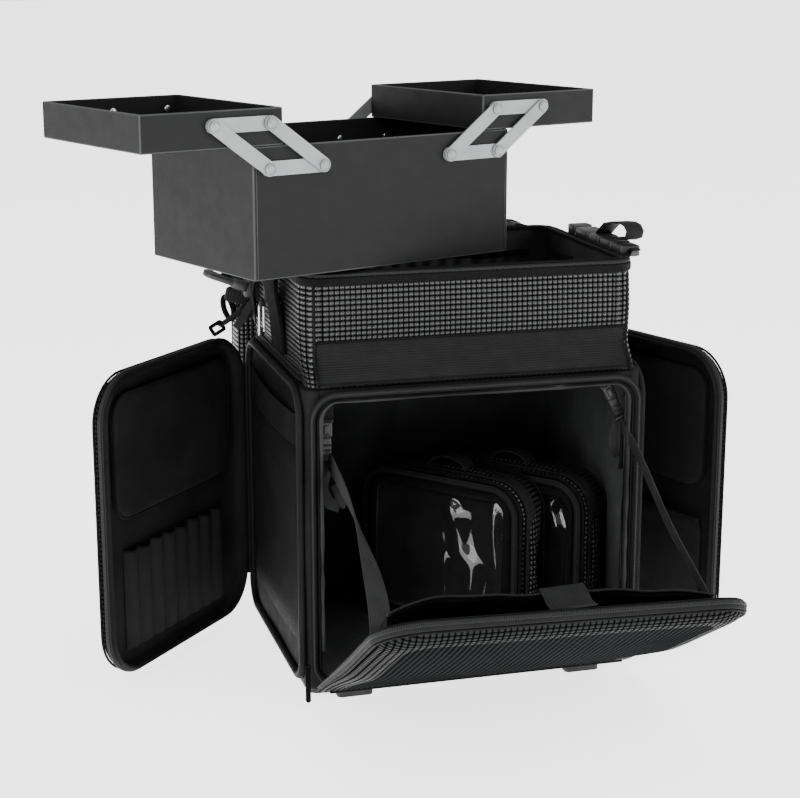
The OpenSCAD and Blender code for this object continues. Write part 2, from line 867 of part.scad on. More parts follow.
module link_left_a() { color("#c6c6c9") swing_bars(pivot_a, -1); }
module link_left_b() { color("#c6c6c9") swing_bars(pivot_b, -1); }
module link_right_a() { color("#c6c6c9") swing_bars(pivot_a, 1); }
module link_right_b() { color("#c6c6c9") swing_bars(pivot_b, 1); }

module tray(side) {
  x0 = side < 0 ? -2*reach : box_l + 2*reach - tray_l;
  turn_box() {
    difference() {
      translate([x0, 0, box_h + seat]) cube([tray_l, box_w, tray_h]);
      translate([x0 + 4, 4, box_h + seat + 3]) cube([tray_l - 8, box_w - 8, tray_h]);
    }
  }
}

module tray_bars(side) {
  turn_box() fixed_bars(tray_pt(pivot_a, side), tray_pt(pivot_b, side));
}

module tray_left() { color("#45454a") tray(-1); }
module tray_left_bars() { color("#b9b9bc") tray_bars(-1); }
module tray_right() { color("#45454a") tray(1); }
module tray_right_bars() { color("#b9b9bc") tray_bars(1); }

// pouches

pouch_r = 36;
pouch_edge = 18;
loop_r = 20;

module at_pouch(c) translate([c[0], c[1], pouch_z]) rotate([0, 0, pouch_turn]) children();

module pouch_body() {
  difference() {
    toward_front(pouch_t/2, pouch_t) translate([0, pouch_h/2]) rrect(pouch_l, pouch_h, pouch_r);
    toward_front(-pouch_t/2 + 1.5, 4) translate([0, pouch_h/2])
      rrect(pouch_l - 2*pouch_edge, pouch_h - 2*pouch_edge, pouch_r - 12);
  }
  toward_front(9, 18) translate([0, pouch_h]) difference() {
    circle(r = loop_r, $fn = arc);
    circle(r = loop_r - 2.2, $fn = arc);
    translate([-1.5*loop_r, -3*loop_r]) square(3*loop_r);
  }
}

module window_sheet() {
  toward_front(-pouch_t/2 + 1.5, 1) translate([0, pouch_h/2])
    rrect(pouch_l - 2*pouch_edge, pouch_h - 2*pouch_edge, pouch_r - 12);
}

module pouch_1() { color("#29292c") at_pouch(pouch_1_at) pouch_body(); }
module pouch_1_window() { color("#9fa3a8") at_pouch(pouch_1_at) window_sheet(); }
module pouch_2() { color("#29292c") at_pouch(pouch_2_at) pouch_body(); }
module pouch_2_window() { color("#9fa3a8") at_pouch(pouch_2_at) window_sheet(); }

base_board();
lower_shell();
lower_lining();
front_frame();
front_flap();
side_frames();
body_zips();
mesh_pockets();
elastic_bands();
upper_shell();
upper_lining();
web_band();
rim_zip();
side_webbing();
side_buckles();
stay_straps();
stay_buckles();
feet();
wheel_housings();
wheel_axles();
wheel_left();
hub_left();
wheel_right();
hub_right();
handle_brackets();
outer_tubes();
mid_tubes();
inner_rods();
grip();
button();
drop_shell();
drop_zip();
drop_pocket();
door_left_shell();
door_left_zip();
door_left_pockets();
door_right_shell();
door_right_zip();
door_right_pockets();
lid_tabs();
lid_shell();
lid_zip();
lid_loop();
front_pull();
rim_pull();
box_shell();
box_bars();
tray_left();
tray_left_bars();
tray_right();
tray_right_bars();
link_left_a();
link_left_b();
link_right_a();
link_right_b();
pouch_1();
pouch_1_window();
pouch_2();
pouch_2_window();
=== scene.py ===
"""Looks of the soft trolley case: mesh pieces and materials over the shared CAD frame."""
import json
import math

import bmesh
import bpy
from mathutils import Matrix, Vector, noise

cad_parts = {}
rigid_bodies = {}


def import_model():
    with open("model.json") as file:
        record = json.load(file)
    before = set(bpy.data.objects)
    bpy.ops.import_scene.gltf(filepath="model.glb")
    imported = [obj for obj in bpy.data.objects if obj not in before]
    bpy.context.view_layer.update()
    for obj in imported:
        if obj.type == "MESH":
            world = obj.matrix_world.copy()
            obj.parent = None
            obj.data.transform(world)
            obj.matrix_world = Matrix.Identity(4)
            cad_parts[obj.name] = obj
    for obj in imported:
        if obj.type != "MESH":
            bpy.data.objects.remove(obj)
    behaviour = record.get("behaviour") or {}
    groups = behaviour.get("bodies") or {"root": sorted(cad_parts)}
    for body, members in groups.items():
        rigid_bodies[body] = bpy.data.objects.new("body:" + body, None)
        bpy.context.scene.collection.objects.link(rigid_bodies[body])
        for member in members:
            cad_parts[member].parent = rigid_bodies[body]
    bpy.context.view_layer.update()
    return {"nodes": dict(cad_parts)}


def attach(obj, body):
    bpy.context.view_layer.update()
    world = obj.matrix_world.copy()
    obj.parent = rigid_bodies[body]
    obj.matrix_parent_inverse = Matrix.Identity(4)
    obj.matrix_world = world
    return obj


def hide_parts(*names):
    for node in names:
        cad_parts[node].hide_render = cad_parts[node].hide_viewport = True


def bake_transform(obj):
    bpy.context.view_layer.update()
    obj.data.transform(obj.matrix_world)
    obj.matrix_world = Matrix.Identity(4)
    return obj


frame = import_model()

MM = 0.001
FLOOR_Z = -12.0
HINGE_Y, HINGE_Z = -150.9, 8.5
DOOR_X, DOOR_Y = 187.0, 134.0
X, Y, Z = Vector((1, 0, 0)), Vector((0, 1, 0)), Vector((0, 0, 1))


def about(axis, deg, at):
    at = Vector(at) * MM
    turn = Matrix.Rotation(math.radians(deg), 4, axis)
    return Matrix.Translation(at) @ turn @ Matrix.Translation(-at)


PANEL = about("X", 57, (0, HINGE_Y, HINGE_Z))
LEFT = about("Z", -42, (-DOOR_X, DOOR_Y, 0))
RIGHT = about("Z", 19, (DOOR_X, DOOR_Y, 0))
BOX = Matrix.Translation((-0.2315, -0.1665, 0.4373)) @ Matrix.Rotation(math.radians(21), 4, "Z")


def at_pouch(x, y):
    return Matrix.Translation((x * MM, y * MM, 0.0133)) @ Matrix.Rotation(math.radians(-50), 4, "Z")


# ---------------------------------------------------------------- materials

class Nodes:
    """A small writer for one material's node tree."""

    def __init__(self, name):
        self.mat = bpy.data.materials.new(name)
        self.mat.use_nodes = True
        self.tree = self.mat.node_tree
        self.tree.nodes.clear()
        self.out = self.new("ShaderNodeOutputMaterial")
        self.bsdf = self.new("ShaderNodeBsdfPrincipled")
        self.link(self.bsdf.outputs[0], self.out.inputs[0])
        self.coord = self.new("ShaderNodeTexCoord")
        self.height = None

    def new(self, kind, **props):
        n = self.tree.nodes.new(kind)
        for k, v in props.items():
            setattr(n, k, v)
        return n

    def link(self, a, b):
        self.tree.links.new(a, b)

    def feed(self, socket, value):
        if hasattr(value, "links"):
            self.link(value, socket)
        else:
            socket.default_value = value

    def math(self, op, a, b=0.0, c=None, clamp=False):
        n = self.new("ShaderNodeMath", operation=op, use_clamp=clamp)
        self.feed(n.inputs[0], a)
        self.feed(n.inputs[1], b)
        if c is not None:
            self.feed(n.inputs[2], c)
        return n.outputs[0]

    def noise(self, scale, detail=3.0, where="Object", rough=0.5):
        n = self.new("ShaderNodeTexNoise")
        n.inputs["Scale"].default_value = scale
        n.inputs["Detail"].default_value = detail
        n.inputs["Roughness"].default_value = rough
        self.link(self.coord.outputs[where], n.inputs["Vector"])
        return n.outputs["Fac"]

    def uv(self):
        s = self.new("ShaderNodeSeparateXYZ")
        self.link(self.coord.outputs["UV"], s.inputs[0])
        return s.outputs[0], s.outputs[1]

    def wave(self, value, pitch):
        """|sin| of a length with one hump every pitch metres, 0 to 1."""
        return self.math("ABSOLUTE", self.math("SINE", self.math("MULTIPLY", value, math.pi / pitch)))

    def ramp(self, fac, stops):
        n = self.new("ShaderNodeValToRGB")
        e = n.color_ramp.elements
        while len(e) < len(stops):
            e.new(0.5)
        for i, (p, c) in enumerate(stops):
            e[i].position = p
            e[i].color = (*c, 1) if len(c) == 3 else c
        self.link(fac, n.inputs[0])
        return n.outputs[0]

    def remap(self, value, lo, hi, to_lo=0.0, to_hi=1.0):
        n = self.new("ShaderNodeMapRange")
        self.link(value, n.inputs[0])
        for i, v in enumerate((lo, hi, to_lo, to_hi)):
            n.inputs[i + 1].default_value = v
        return n.outputs[0]

    def bump(self, height, distance, strength=1.0):
        n = self.new("ShaderNodeBump")
        n.inputs["Strength"].default_value = strength
        n.inputs["Distance"].default_value = distance
        self.link(height, n.inputs["Height"])
        if self.height is not None:
            self.link(self.height, n.inputs["Normal"])
        self.height = n.outputs[0]
        self.link(self.height, self.bsdf.inputs["Normal"])

    def set(self, **values):
        for k, v in values.items():
            self.feed(self.bsdf.inputs[k.replace("_", " ")], v)
        return self


def grey(v, tint=0.0):
    return (v * (1 - tint), v, v * (1 + tint))


def mottled(n, lo, hi, scale=18.0, tint=0.02):
    """Colour that drifts between two greys over the piece."""
    return n.ramp(n.noise(scale, 4), [(0.3, grey(lo, tint)), (0.7, grey(hi, tint))])


def cloth(name, lo, hi, rough, weave, depth, spec=0.25, scale=18.0, folds=0.0012):
    n = Nodes(name)
    u, v = n.uv()
    threads = n.math("MULTIPLY", n.wave(u, weave), n.wave(v, weave))
    n.set(Base_Color=mottled(n, lo, hi, scale), Roughness=n.remap(n.noise(60), 0.3, 0.7, rough - 0.06, rough + 0.06))
    n.set(Specular_IOR_Level=spec)
    if folds:
        n.bump(n.noise(26, 2), folds, 0.7)
    n.bump(threads, depth, 0.8)
    return n.mat


def embossed_cloth(name, tone, gloss, relief=0.0024):
    """Coated cloth with rows of small raised pillows."""
    n = Nodes(name)
    u, v = n.uv()
    pillow = n.math("POWER", n.math("MULTIPLY", n.wave(u, 0.0057), n.wave(v, 0.0052)), 0.45)
    # The base colour is darkest in the gaps between the pillows and lighter on their tops: painted shade in the gaps,
    # with random tone from the noise over it.
    shade = n.math("MULTIPLY", pillow, n.remap(n.noise(9, 3), 0.3, 0.7, 0.75, 1.0))
    n.set(Base_Color=n.ramp(shade, [(0.3, grey(0.0012)), (0.78, grey(tone, 0.03))]))
    n.set(Roughness=n.remap(pillow, 0.3, 0.9, 0.65, 0.26))
    n.set(Specular_IOR_Level=n.remap(pillow, 0.4, 0.9, 0.0, gloss) if gloss else 0.0)
    n.bump(n.noise(14, 2), 0.002, 0.4)
    n.bump(pillow, relief, 1.0)
    return n.mat


def ribbed(name, lo, hi, pitch, rough, across="v", depth=0.0004, spec=0.25):
    """Webbing: fine ribs over the width and a twill along it."""
    n = Nodes(name)
    u, v = n.uv()
    a, b = (u, v) if across == "u" else (v, u)
    ribs = n.wave(a, pitch)
    twill = n.wave(n.math("ADD", a, n.math("MULTIPLY", b, 0.8)), pitch * 0.55)
    n.set(Base_Color=mottled(n, lo, hi, 40), Roughness=n.remap(n.noise(90), 0.3, 0.7, rough - 0.05, rough + 0.07))
    n.set(Specular_IOR_Level=spec)
    n.bump(n.math("ADD", ribs, n.math("MULTIPLY", twill, 0.4)), depth, 0.9)
    return n.mat


def zip_coil():
    n = Nodes("zip_coil")
    u, v = n.uv()
    teeth = n.math("POWER", n.wave(u, 0.0016), 0.6)
    side = n.wave(v, 0.0022)
    # The colour is lighter on the teeth and darker between them: painted highlight on the teeth and painted shade in
    # the gaps.
    n.set(Base_Color=n.ramp(teeth, [(0.2, grey(0.002)), (0.9, grey(0.02, 0.03))]))
    n.set(Roughness=n.remap(teeth, 0.2, 0.9, 0.7, 0.5), Specular_IOR_Level=n.remap(teeth, 0.2, 0.9, 0.04, 0.18))
    n.bump(n.math("ADD", teeth, n.math("MULTIPLY", side, 0.5)), 0.0006, 1.0)
    return n.mat


def leathercloth(name, lo, hi, rough=0.5):
    n = Nodes(name)
    cells = n.new("ShaderNodeTexVoronoi", feature="DISTANCE_TO_EDGE")
    cells.inputs["Scale"].default_value = 900
    n.link(n.coord.outputs["Object"], cells.inputs["Vector"])
    n.set(Base_Color=mottled(n, lo, hi, 7, 0.035), Roughness=n.remap(n.noise(60), 0.3, 0.7, rough - 0.03, rough + 0.04))
    n.set(Specular_IOR_Level=0.21)
    n.bump(n.noise(420, 3), 0.00025, 0.5)
    n.bump(cells.outputs["Distance"], 0.0002, 0.5)
    return n.mat


def metal(name, lo, hi, rough, brush=0.0, metallic=1.0):
    n = Nodes(name)
    n.set(Base_Color=mottled(n, lo, hi, 30), Metallic=metallic, Roughness=n.remap(n.noise(120, 5), 0.3, 0.7, rough - 0.06, rough + 0.08))
    n.bump(n.noise(600, 2), 0.00003 + brush, 0.4)
    return n.mat


def moulded(name, lo, hi, rough, grain=0.00012):
    n = Nodes(name)
    n.set(Base_Color=mottled(n, lo, hi, 25), Roughness=n.remap(n.noise(80), 0.3, 0.7, rough - 0.08, rough + 0.08))
    n.bump(n.noise(900, 3), grain, 0.6)
    return n.mat


def mesh_cloth():
    """Open diagonal net over the dark wall."""
    n = Nodes("net")
    u, v = n.uv()
    a = n.wave(n.math("ADD", u, v), 0.0042)
    b = n.wave(n.math("SUBTRACT", u, v), 0.0042)
    thread = n.math("MINIMUM", a, b)
    cover = n.remap(thread, 0.3, 0.55, 1.0, 0.12)
    n.set(Base_Color=n.ramp(n.noise(50), [(0.3, grey(0.004)), (0.7, grey(0.008))]), Roughness=0.7, Alpha=cover)
    n.set(Specular_IOR_Level=0.2)
    n.bump(thread, 0.0004, 0.6)
    return n.mat


def clear_film():
    """Clear sheet, glossy enough for its folds to catch the light; its near-black base at half alpha is painted shade
    that dims the pouch's inside behind it.
    """
    n = Nodes("clear_film")
    n.set(Base_Color=(0.012, 0.012, 0.013, 1), Roughness=n.remap(n.noise(12), 0.3, 0.7, 0.03, 0.1), Alpha=0.5)
    n.set(Specular_IOR_Level=0.9, Coat_Weight=1.0, Coat_Roughness=0.03)
    n.bump(n.noise(40, 1), 0.0015, 0.6)
    return n.mat


EMBOSSED = embossed_cloth("embossed_cloth", 0.02, 0.6)
# Shaded copies of the embossed cloth for the drop panel's and doors' outer faces. The gloss is taken out, all of it on
# the faces and nearly all on the panel's shoulder rows, so these faces stay dark under the floor's light. This is
# painted shade; it is the same cloth as the upper section.
SHADED_EMBOSSED = embossed_cloth("shaded_embossed_cloth", 0.024, 0.0, 0.0022)
SHADED_EMBOSSED_EDGE = embossed_cloth("shaded_panel_edge_cloth", 0.02, 0.008, 0.0022)
NYLON = cloth("nylon_cloth", 0.0025, 0.0055, 0.7, 0.0011, 0.00018, spec=0.12)
BLACK = cloth("black_cloth", 0.001, 0.003, 0.85, 0.0012, 0.0002, spec=0.06)
LINING = cloth("lining_cloth", 0.0065, 0.012, 0.95, 0.0014, 0.0002, spec=0.05, folds=0.002)
# A lightened copy of the lining for the insides of the case, its pockets and the pouches: the lighter grey is painted
# light that stands in for light that hardly reaches in there.
LIT_LINING = cloth("lit_inner_lining", 0.026, 0.06, 0.95, 0.0014, 0.0002, spec=0.05, scale=11.0, folds=0.003)
FLAP = cloth("flap_cloth", 0.012, 0.03, 0.8, 0.0012, 0.0002, spec=0.2, folds=0.0015)
POCKET = cloth("pocket_cloth", 0.006, 0.0105, 0.85, 0.0012, 0.0002, spec=0.1, folds=0.0022)
WEBBING = ribbed("webbing", 0.007, 0.013, 0.0017, 0.65, spec=0.15)
TAB = ribbed("tab_webbing", 0.012, 0.02, 0.003, 0.7, depth=0.0009, spec=0.12)
ELASTIC = ribbed("elastic", 0.002, 0.005, 0.0022, 0.8, depth=0.0005, spec=0.12)
BAND = ribbed("ribbed_band", 0.0068, 0.0112, 0.0027, 0.65, depth=0.0007, spec=0.14)
STRAP = ribbed("stay_webbing", 0.014, 0.024, 0.0017, 0.7, spec=0.2)
BINDING = ribbed("binding", 0.0025, 0.005, 0.0012, 0.65, depth=0.0003, spec=0.1)
ZIP = zip_coil()
TAPE = cloth("zip_tape", 0.005, 0.009, 0.7, 0.0008, 0.00015, folds=0, spec=0.2)
NET = mesh_cloth()
FILM = clear_film()
TRAY = leathercloth("tray_leathercloth", 0.0052, 0.006, 0.6)
TRAY_IN = leathercloth("tray_inside", 0.003, 0.005, 0.75)
TRAY_EDGE = leathercloth("tray_edge", 0.03, 0.05, 0.5)
BARS = metal("bar_metal", 0.24, 0.3, 0.42, metallic=0.4)
RIVET = metal("rivet_metal", 0.35, 0.45, 0.3)
STEEL = metal("steel", 0.5, 0.65, 0.22)
TUBE = metal("tube_metal", 0.42, 0.52, 0.28)
PLASTIC = moulded("black_plastic", 0.009, 0.018, 0.42)
GREY_PLASTIC = moulded("grey_plastic", 0.014, 0.024, 0.4)
RUBBER = moulded("rubber", 0.008, 0.014, 0.75, 0.0003)
BOARD = moulded("board", 0.012, 0.02, 0.7, 0.0004)


# ---------------------------------------------------------------- mesh writers

def build(name, verts, faces, mats, body, at=None, uvs=None, ids=None, smooth=True, replaces=()):
    """A piece from points in mm, in its own closed frame; at carries it to its place at rest."""
    me = bpy.data.meshes.new(name)
    me.from_pydata([Vector(v) * MM for v in verts], [], faces)
    mats = mats if isinstance(mats, (list, tuple)) else [mats]
    for m in mats:
        me.materials.append(m)
    if ids:
        me.polygons.foreach_set("material_index", ids)
    layer = me.uv_layers.new(name="uv")
    if uvs:
        flat = [c * MM for f in uvs for p in f for c in p]
        layer.data.foreach_set("uv", flat)
    bm = bmesh.new()
    bm.from_mesh(me)
    bmesh.ops.recalc_face_normals(bm, faces=bm.faces)
    if not uvs:
        lay = bm.loops.layers.uv.active
        for f in bm.faces:
            n = [abs(c) for c in f.normal]
            k = n.index(max(n))
            a, b = ((1, 2), (0, 2), (0, 1))[k]
            for lp in f.loops:
                lp[lay].uv = (lp.vert.co[a], lp.vert.co[b])
    for f in bm.faces:
        f.smooth = smooth
    if at is not None:
        bmesh.ops.transform(bm, matrix=at, verts=bm.verts)
    bm.to_mesh(me)
    bm.free()
    ob = bpy.data.objects.new(name, me)
    bpy.context.scene.collection.objects.link(ob)
    if body:
        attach(ob, body)
    if replaces:
        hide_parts(*replaces)
    return ob


class Part:
    """Gathers several shells into one piece."""

    def __init__(self):
        self.verts, self.faces, self.uvs, self.ids = [], [], [], []

    def add(self, made, mat=0):
        verts, faces, uvs = made[:3]
        base = len(self.verts)
        self.verts += [Vector(v) for v in verts]
        self.faces += [[i + base for i in f] for f in faces]
        self.uvs += uvs
        if len(made) > 3:
            self.ids += made[3]
        else:
            self.ids += [mat] * len(faces)
        return self

    def build(self, name, mats, body, at=None, box_uv=False, **more):
        return build(name, self.verts, self.faces, mats, body, at,
                     None if box_uv else self.uvs, self.ids, **more)


def rr(w, h, r, nc=8, ns=6, cx=0.0, cy=0.0):
    """Rounded rectangle: points and outward normals, anticlockwise from the right edge's foot."""
    r = max(r, 0.2)
    pts = []
    corners = ((1, -1, -90), (1, 1, 0), (-1, 1, 90), (-1, -1, 180))
    for k, (sx, sy, a0) in enumerate(corners):
        ox, oy = sx * (w / 2 - r), sy * (h / 2 - r)
        for i in range(nc + 1):
            a = math.radians(a0 + 90 * i / nc)
            pts.append((cx + ox + r * math.cos(a), cy + oy + r * math.sin(a), math.cos(a), math.sin(a)))
        nx, ny, a1 = corners[(k + 1) % 4]
        ex, ey = nx * (w / 2 - r), ny * (h / 2 - r)
        a = math.radians(a0 + 90)
        sx0, sy0 = ox + r * math.cos(a), oy + r * math.sin(a)
        ex0, ey0 = ex + r * math.cos(a), ey + r * math.sin(a)
        for i in range(1, ns):
            t = i / ns
            pts.append((cx + sx0 + (ex0 - sx0) * t, cy + sy0 + (ey0 - sy0) * t, math.cos(a), math.sin(a)))
    return pts


def plane(o, a, b):
    """Maps flat (a, b) points and a depth along their normal into space."""
    o, a, b = Vector(o), Vector(a), Vector(b)
    n = a.cross(b)
    return lambda p, q, d=0.0: o + a * p + b * q + n * d


def sweep(frames, section, closed=True, cap=True):
    """Carries a closed (out, up) section along frames of (point, out, up)."""
    n, m = len(frames), len(section)
    verts = [p + o * a + u * b for p, o, u in frames for a, b in section]
    lens = [0.0]
    for i in range(1, n + (1 if closed else 0)):
        lens.append(lens[-1] + (frames[i % n][0] - frames[i - 1][0]).length)
    sl = [0.0]
    for j in range(1, m + 1):
        sl.append(sl[-1] + math.dist(section[j % m], section[j - 1]))
    faces, uvs = [], []
    for i in range(n if closed else n - 1):
        for j in range(m):
            i2, j2 = (i + 1) % n, (j + 1) % m
            faces.append([i * m + j, i * m + j2, i2 * m + j2, i2 * m + j])
            uvs.append([(lens[i], sl[j]), (lens[i], sl[j + 1]), (lens[i + 1], sl[j + 1]), (lens[i + 1], sl[j])])
    if cap and not closed:
        for base in (0, (n - 1) * m):
            faces.append([base + j for j in range(m)])
            uvs.append([section[j] for j in range(m)])
    return verts, faces, uvs


def loop_frames(outline, place):
    """Frames round a flat outline: place maps it into space."""
    o = place(0, 0)
    up = (place(0, 0, 1) - o).normalized()
    return [(place(x, y), (place(nx, ny) - o).normalized(), up) for x, y, nx, ny in outline]


def line_frames(points, up):
    """Frames along an open line; the section's second axis is up, kept square to the line."""
    pts = [Vector(p) for p in points]
    out = []
    for i, p in enumerate(pts):
        t = (pts[min(i + 1, len(pts) - 1)] - pts[max(i - 1, 0)]).normalized()
        u = Vector(up(i) if callable(up) else up)
        side = t.cross(u).normalized()
        out.append((p, side, side.cross(t).normalized()))
    return out


def slab(w, t, r=None, n=3, a0=None, b0=0.0):
    """Rounded w by t section; out runs over the width, up over the thickness."""
    r = min(w, t) / 2 * 0.9 if r is None else r
    a0 = -w / 2 if a0 is None else a0
    pts = []
    for sx, sy, s in ((1, 0, -90), (1, 1, 0), (0, 1, 90), (0, 0, 180)):
        ox, oy = a0 + (w - r if sx else r), b0 + (t - r if sy else r)
        for i in range(n + 1):
            a = math.radians(s + 90 * i / n)
            pts.append((ox + r * math.cos(a), oy + r * math.sin(a)))
    return pts


def wall(h0, h1, thick, bulge=0.0, n=14, edge=2.0, inner=0.0):
    """Section of a padded wall from height h0 to h1; out = 0 is its outer face."""
    pts = []
    for i in range(n + 1):
        t = i / n
        pts.append((bulge * math.sin(math.pi * t) ** 0.7, h0 + edge + (h1 - h0 - 2 * edge) * t))
    pts += [(-edge * 0.3, h1 - edge * 0.3), (-edge, h1)]
    pts += [(-thick + edge * 0.5, h1)]
    for i in range(n + 1):
        t = 1 - i / n
        pts.append((-thick - inner * math.sin(math.pi * t), h0 + edge + (h1 - h0 - 2 * edge) * t))
    pts += [(-thick + edge * 0.5, h0), (-edge, h0), (-edge * 0.3, h0 + edge * 0.3)]
    return pts


def rings(loops, poles=(True, True), mats=None):
    """Skin over a row of equal loops, closed at both ends by a point."""
    n = len(loops[0])
    verts = [v for lp in loops for v in lp]
    faces, ids = [], []
    for k in range(len(loops) - 1):
        for i in range(n):
            j = (i + 1) % n
            faces.append([k * n + i, k * n + j, (k + 1) * n + j, (k + 1) * n + i])
            ids.append(mats[k] if mats else 0)
    for end, row in ((0, 0), (1, len(loops) - 1)):
        if poles[end]:
            c = sum((Vector(v) for v in loops[row]), Vector()) / n
            verts.append(c)
            for i in range(n):
                faces.append([len(verts) - 1, row * n + i, row * n + (i + 1) % n])
                ids.append(mats[0 if end == 0 else -1] if mats else 0)
    around = [0.0]
    wide = max(loops, key=lambda lp: sum((Vector(lp[i]) - Vector(lp[i - 1])).length for i in range(n)))
    for i in range(n):
        around.append(around[-1] + (Vector(wide[(i + 1) % n]) - Vector(wide[i])).length)
    along = [0.0]
    for a, b in zip(loops, loops[1:]):
        along.append(along[-1] + sum((Vector(q) - Vector(p)).length for p, q in zip(a, b)) / n)
    uvs = [[(around[i], along[k]), (around[i + 1], along[k]), (around[i + 1], along[k + 1]), (around[i], along[k + 1])]
           for k in range(len(loops) - 1) for i in range(n)]
    uvs += [[(0, 0)] * 3] * (len(faces) - len(uvs))
    return verts, faces, uvs, ids


def shell_rings(w, h, r, profile, place, nc=8, ns=8, cx=0.0, cy=0.0, mats=None, poles=(True, True)):
    """Skin over loops of a rounded rectangle; a profile row is (inset, depth, scale)."""
    loops = []
    for inset, depth, k in profile:
        o = rr(w - 2 * inset, h - 2 * inset, r - inset, nc, ns)
        loops.append([place(cx + x * k, cy + y * k, depth) for x, y, _, _ in o])
    return rings(loops, poles, mats)


def ruffle(ob, amount, scale, seed=0.0, keep=None):
    """Small, even unevenness of cloth, pushed along the normals."""
    me = ob.data
    shift = Vector((seed * 3.7, seed * 1.3, seed * 2.1))
    normals = [v.normal.copy() for v in me.vertices]
    for v, n in zip(me.vertices, normals):
        if keep and keep(v.co / MM):
            continue
        v.co += n * (noise.noise(v.co * scale + shift) * amount * MM)
    me.update()


def soften(ob, seed, pressure=4.0, cap=8.0, frames=18, hold=None):
    """Lets a padded piece swell as cloth under pressure, its held points kept in place."""
    rest = [v.co.copy() for v in ob.data.vertices]
    work = ob.copy()
    work.data = ob.data.copy()
    bpy.context.scene.collection.objects.link(work)
    work.parent = None
    work.matrix_world = Matrix.Identity(4)
    group = work.vertex_groups.new(name="held")
    if hold:
        group.add([v.index for v in work.data.vertices if hold(v.co / MM)], 1.0, "REPLACE")
    mod = work.modifiers.new("cloth", "CLOTH")
    cloth_set = mod.settings
    cloth_set.use_pressure = True
    cloth_set.uniform_pressure_force = pressure
    cloth_set.effector_weights.gravity = 0.0
    cloth_set.mass = 0.3
    cloth_set.tension_stiffness = cloth_set.compression_stiffness = 12
    cloth_set.bending_stiffness = 0.4
    cloth_set.quality = 5
    if hold:
        cloth_set.vertex_group_mass = "held"
    scene = bpy.context.scene
    for f in range(1, frames + 1):
        scene.frame_set(f)
    moved = work.evaluated_get(bpy.context.evaluated_depsgraph_get()).to_mesh()
    for v, r, w in zip(ob.data.vertices, rest, moved.vertices):
        step = w.co - r
        if step.length > cap * MM:
            step *= cap * MM / step.length
        v.co = r + step
    ob.data.update()
    scene.frame_set(1)
    bpy.data.objects.remove(work)


def dome_rows(depth0, depth1, n=6, k0=1.0, power=2.2, inset=9.0, ease=1.0):
    """Profile rows from a face's edge to its middle, swelling from depth0 to depth1."""
    rows = []
    for i in range(1, n + 1):
        k = k0 * (1 - i / (n + 0.4))
        rows.append((inset, depth0 + (depth1 - depth0) * (1 - k ** power) ** ease, k))
    return rows


# ---------------------------------------------------------------- lower body

UPRIGHT = plane((0, 0, 0), X, Y)          # plan view, depth = +Z


def body_path(inset=0.0, x_end=164.0):
    """Plan of the lower body's left, back and right walls, open at the front."""
    w, d, r = 360 - 2 * inset, 280 - 2 * inset, max(14 - inset, 3)
    pts = [p for p in rr(w, d, r, 8, 24) if not (abs(p[0]) < x_end and p[1] < -d / 2 + 1)]
    start = max(range(len(pts)), key=lambda i: math.dist(pts[i][:2], pts[i - 1][:2]))
    pts = pts[start:] + pts[:start]
    y = -d / 2
    return [(x_end, y, 0, -1)] + pts + [(-x_end, y, 0, -1)]


walls = Part()
walls.add(sweep(loop_frames(body_path(), UPRIGHT), wall(5, 321, 6, 1.6), closed=False))
for z0, z1 in ((5, 14), (312, 321)):
    walls.add(sweep([(Vector((x, -140, 0)), -Y, Z) for x in (-165, 0, 165)], wall(z0, z1, 6, 0, 2, 1), closed=False))
body_walls = walls.build("body_walls", NYLON, "case", replaces=("lower_shell",))
ruffle(body_walls, 1.2, 14, 1)

lin = Part()
lin.add(sweep(loop_frames(body_path(6.2), UPRIGHT), wall(11, 315, 1.8, 0, 14, 0.6, 1.2), closed=False))
lin.add(shell_rings(347, 267, 8, [(1, 11.1, 0.02), (1, 11.1, 1), (0, 11.6, 1), (0, 12.4, 1), (1.5, 13.2, 1)]
                    + dome_rows(13.2, 13.6, 8, inset=2), UPRIGHT, ns=10))
lin.add(shell_rings(347, 267, 8, [(1, 314.9, 0.02), (1, 314.9, 1), (0, 314.2, 1), (1.5, 313, 1)]
                    + dome_rows(313, 312.4, 8, inset=2), UPRIGHT, ns=10))
lining = lin.build("body_lining", LIT_LINING, "case", box_uv=True, replaces=("lower_lining",))
ruffle(lining, 2.0, 22, 2, keep=lambda p: p.z < 11.5 or p.z > 314.5)

FRONT = plane((0, -140, 163), X, Z)       # depth = -Y, out of the front

frame_part = Part()
frame_part.add(sweep(loop_frames(rr(345, 305, 25.5, 10, 16), FRONT), slab(7.4, 6.2, 2.4, b0=-0.2)))
frame_part.add(sweep(loop_frames(rr(352, 312, 29, 10, 16), FRONT), slab(2.2, 2.2, 1.0, b0=4.4)), 1)
frame_part.add(sweep(loop_frames(rr(335, 295, 20.5, 10, 16), FRONT), slab(1.8, 1.8, 0.8, b0=5.2)), 1)
frame_part.build("front_frame_padded", [NYLON, BINDING], "case", replaces=("front_frame",))

flap_pts = [p for p in rr(333, 298, 22, 10, 20) if p[1] + 163 > 48]
cut = max(range(len(flap_pts)), key=lambda i: math.dist(flap_pts[i][:2], flap_pts[i - 1][:2]))
flap_pts = flap_pts[cut:] + flap_pts[:cut]
flap = Part()
flap.add(sweep(loop_frames(flap_pts, FRONT), slab(3.8, 6.4, 1.2, a0=-4.4, b0=0), closed=False))
flap_ob = flap.build("light_flap", FLAP, "case", replaces=("front_flap",))
ruffle(flap_ob, 1.3, 40, 3)


def zip_ring(part, outline, place, depth, tape=9.0, coil=4.2, mat_tape=0, mat_coil=1, closed=True, rise=1.5):
    """A zip: a flat tape with a toothed coil on it."""
    fr = loop_frames(outline, place)
    part.add(sweep(fr, slab(tape, 1.0, 0.4, b0=depth), closed=closed), mat_tape)
    part.add(sweep(fr, slab(coil, rise, rise * 0.45, b0=depth + 0.8), closed=closed), mat_coil)


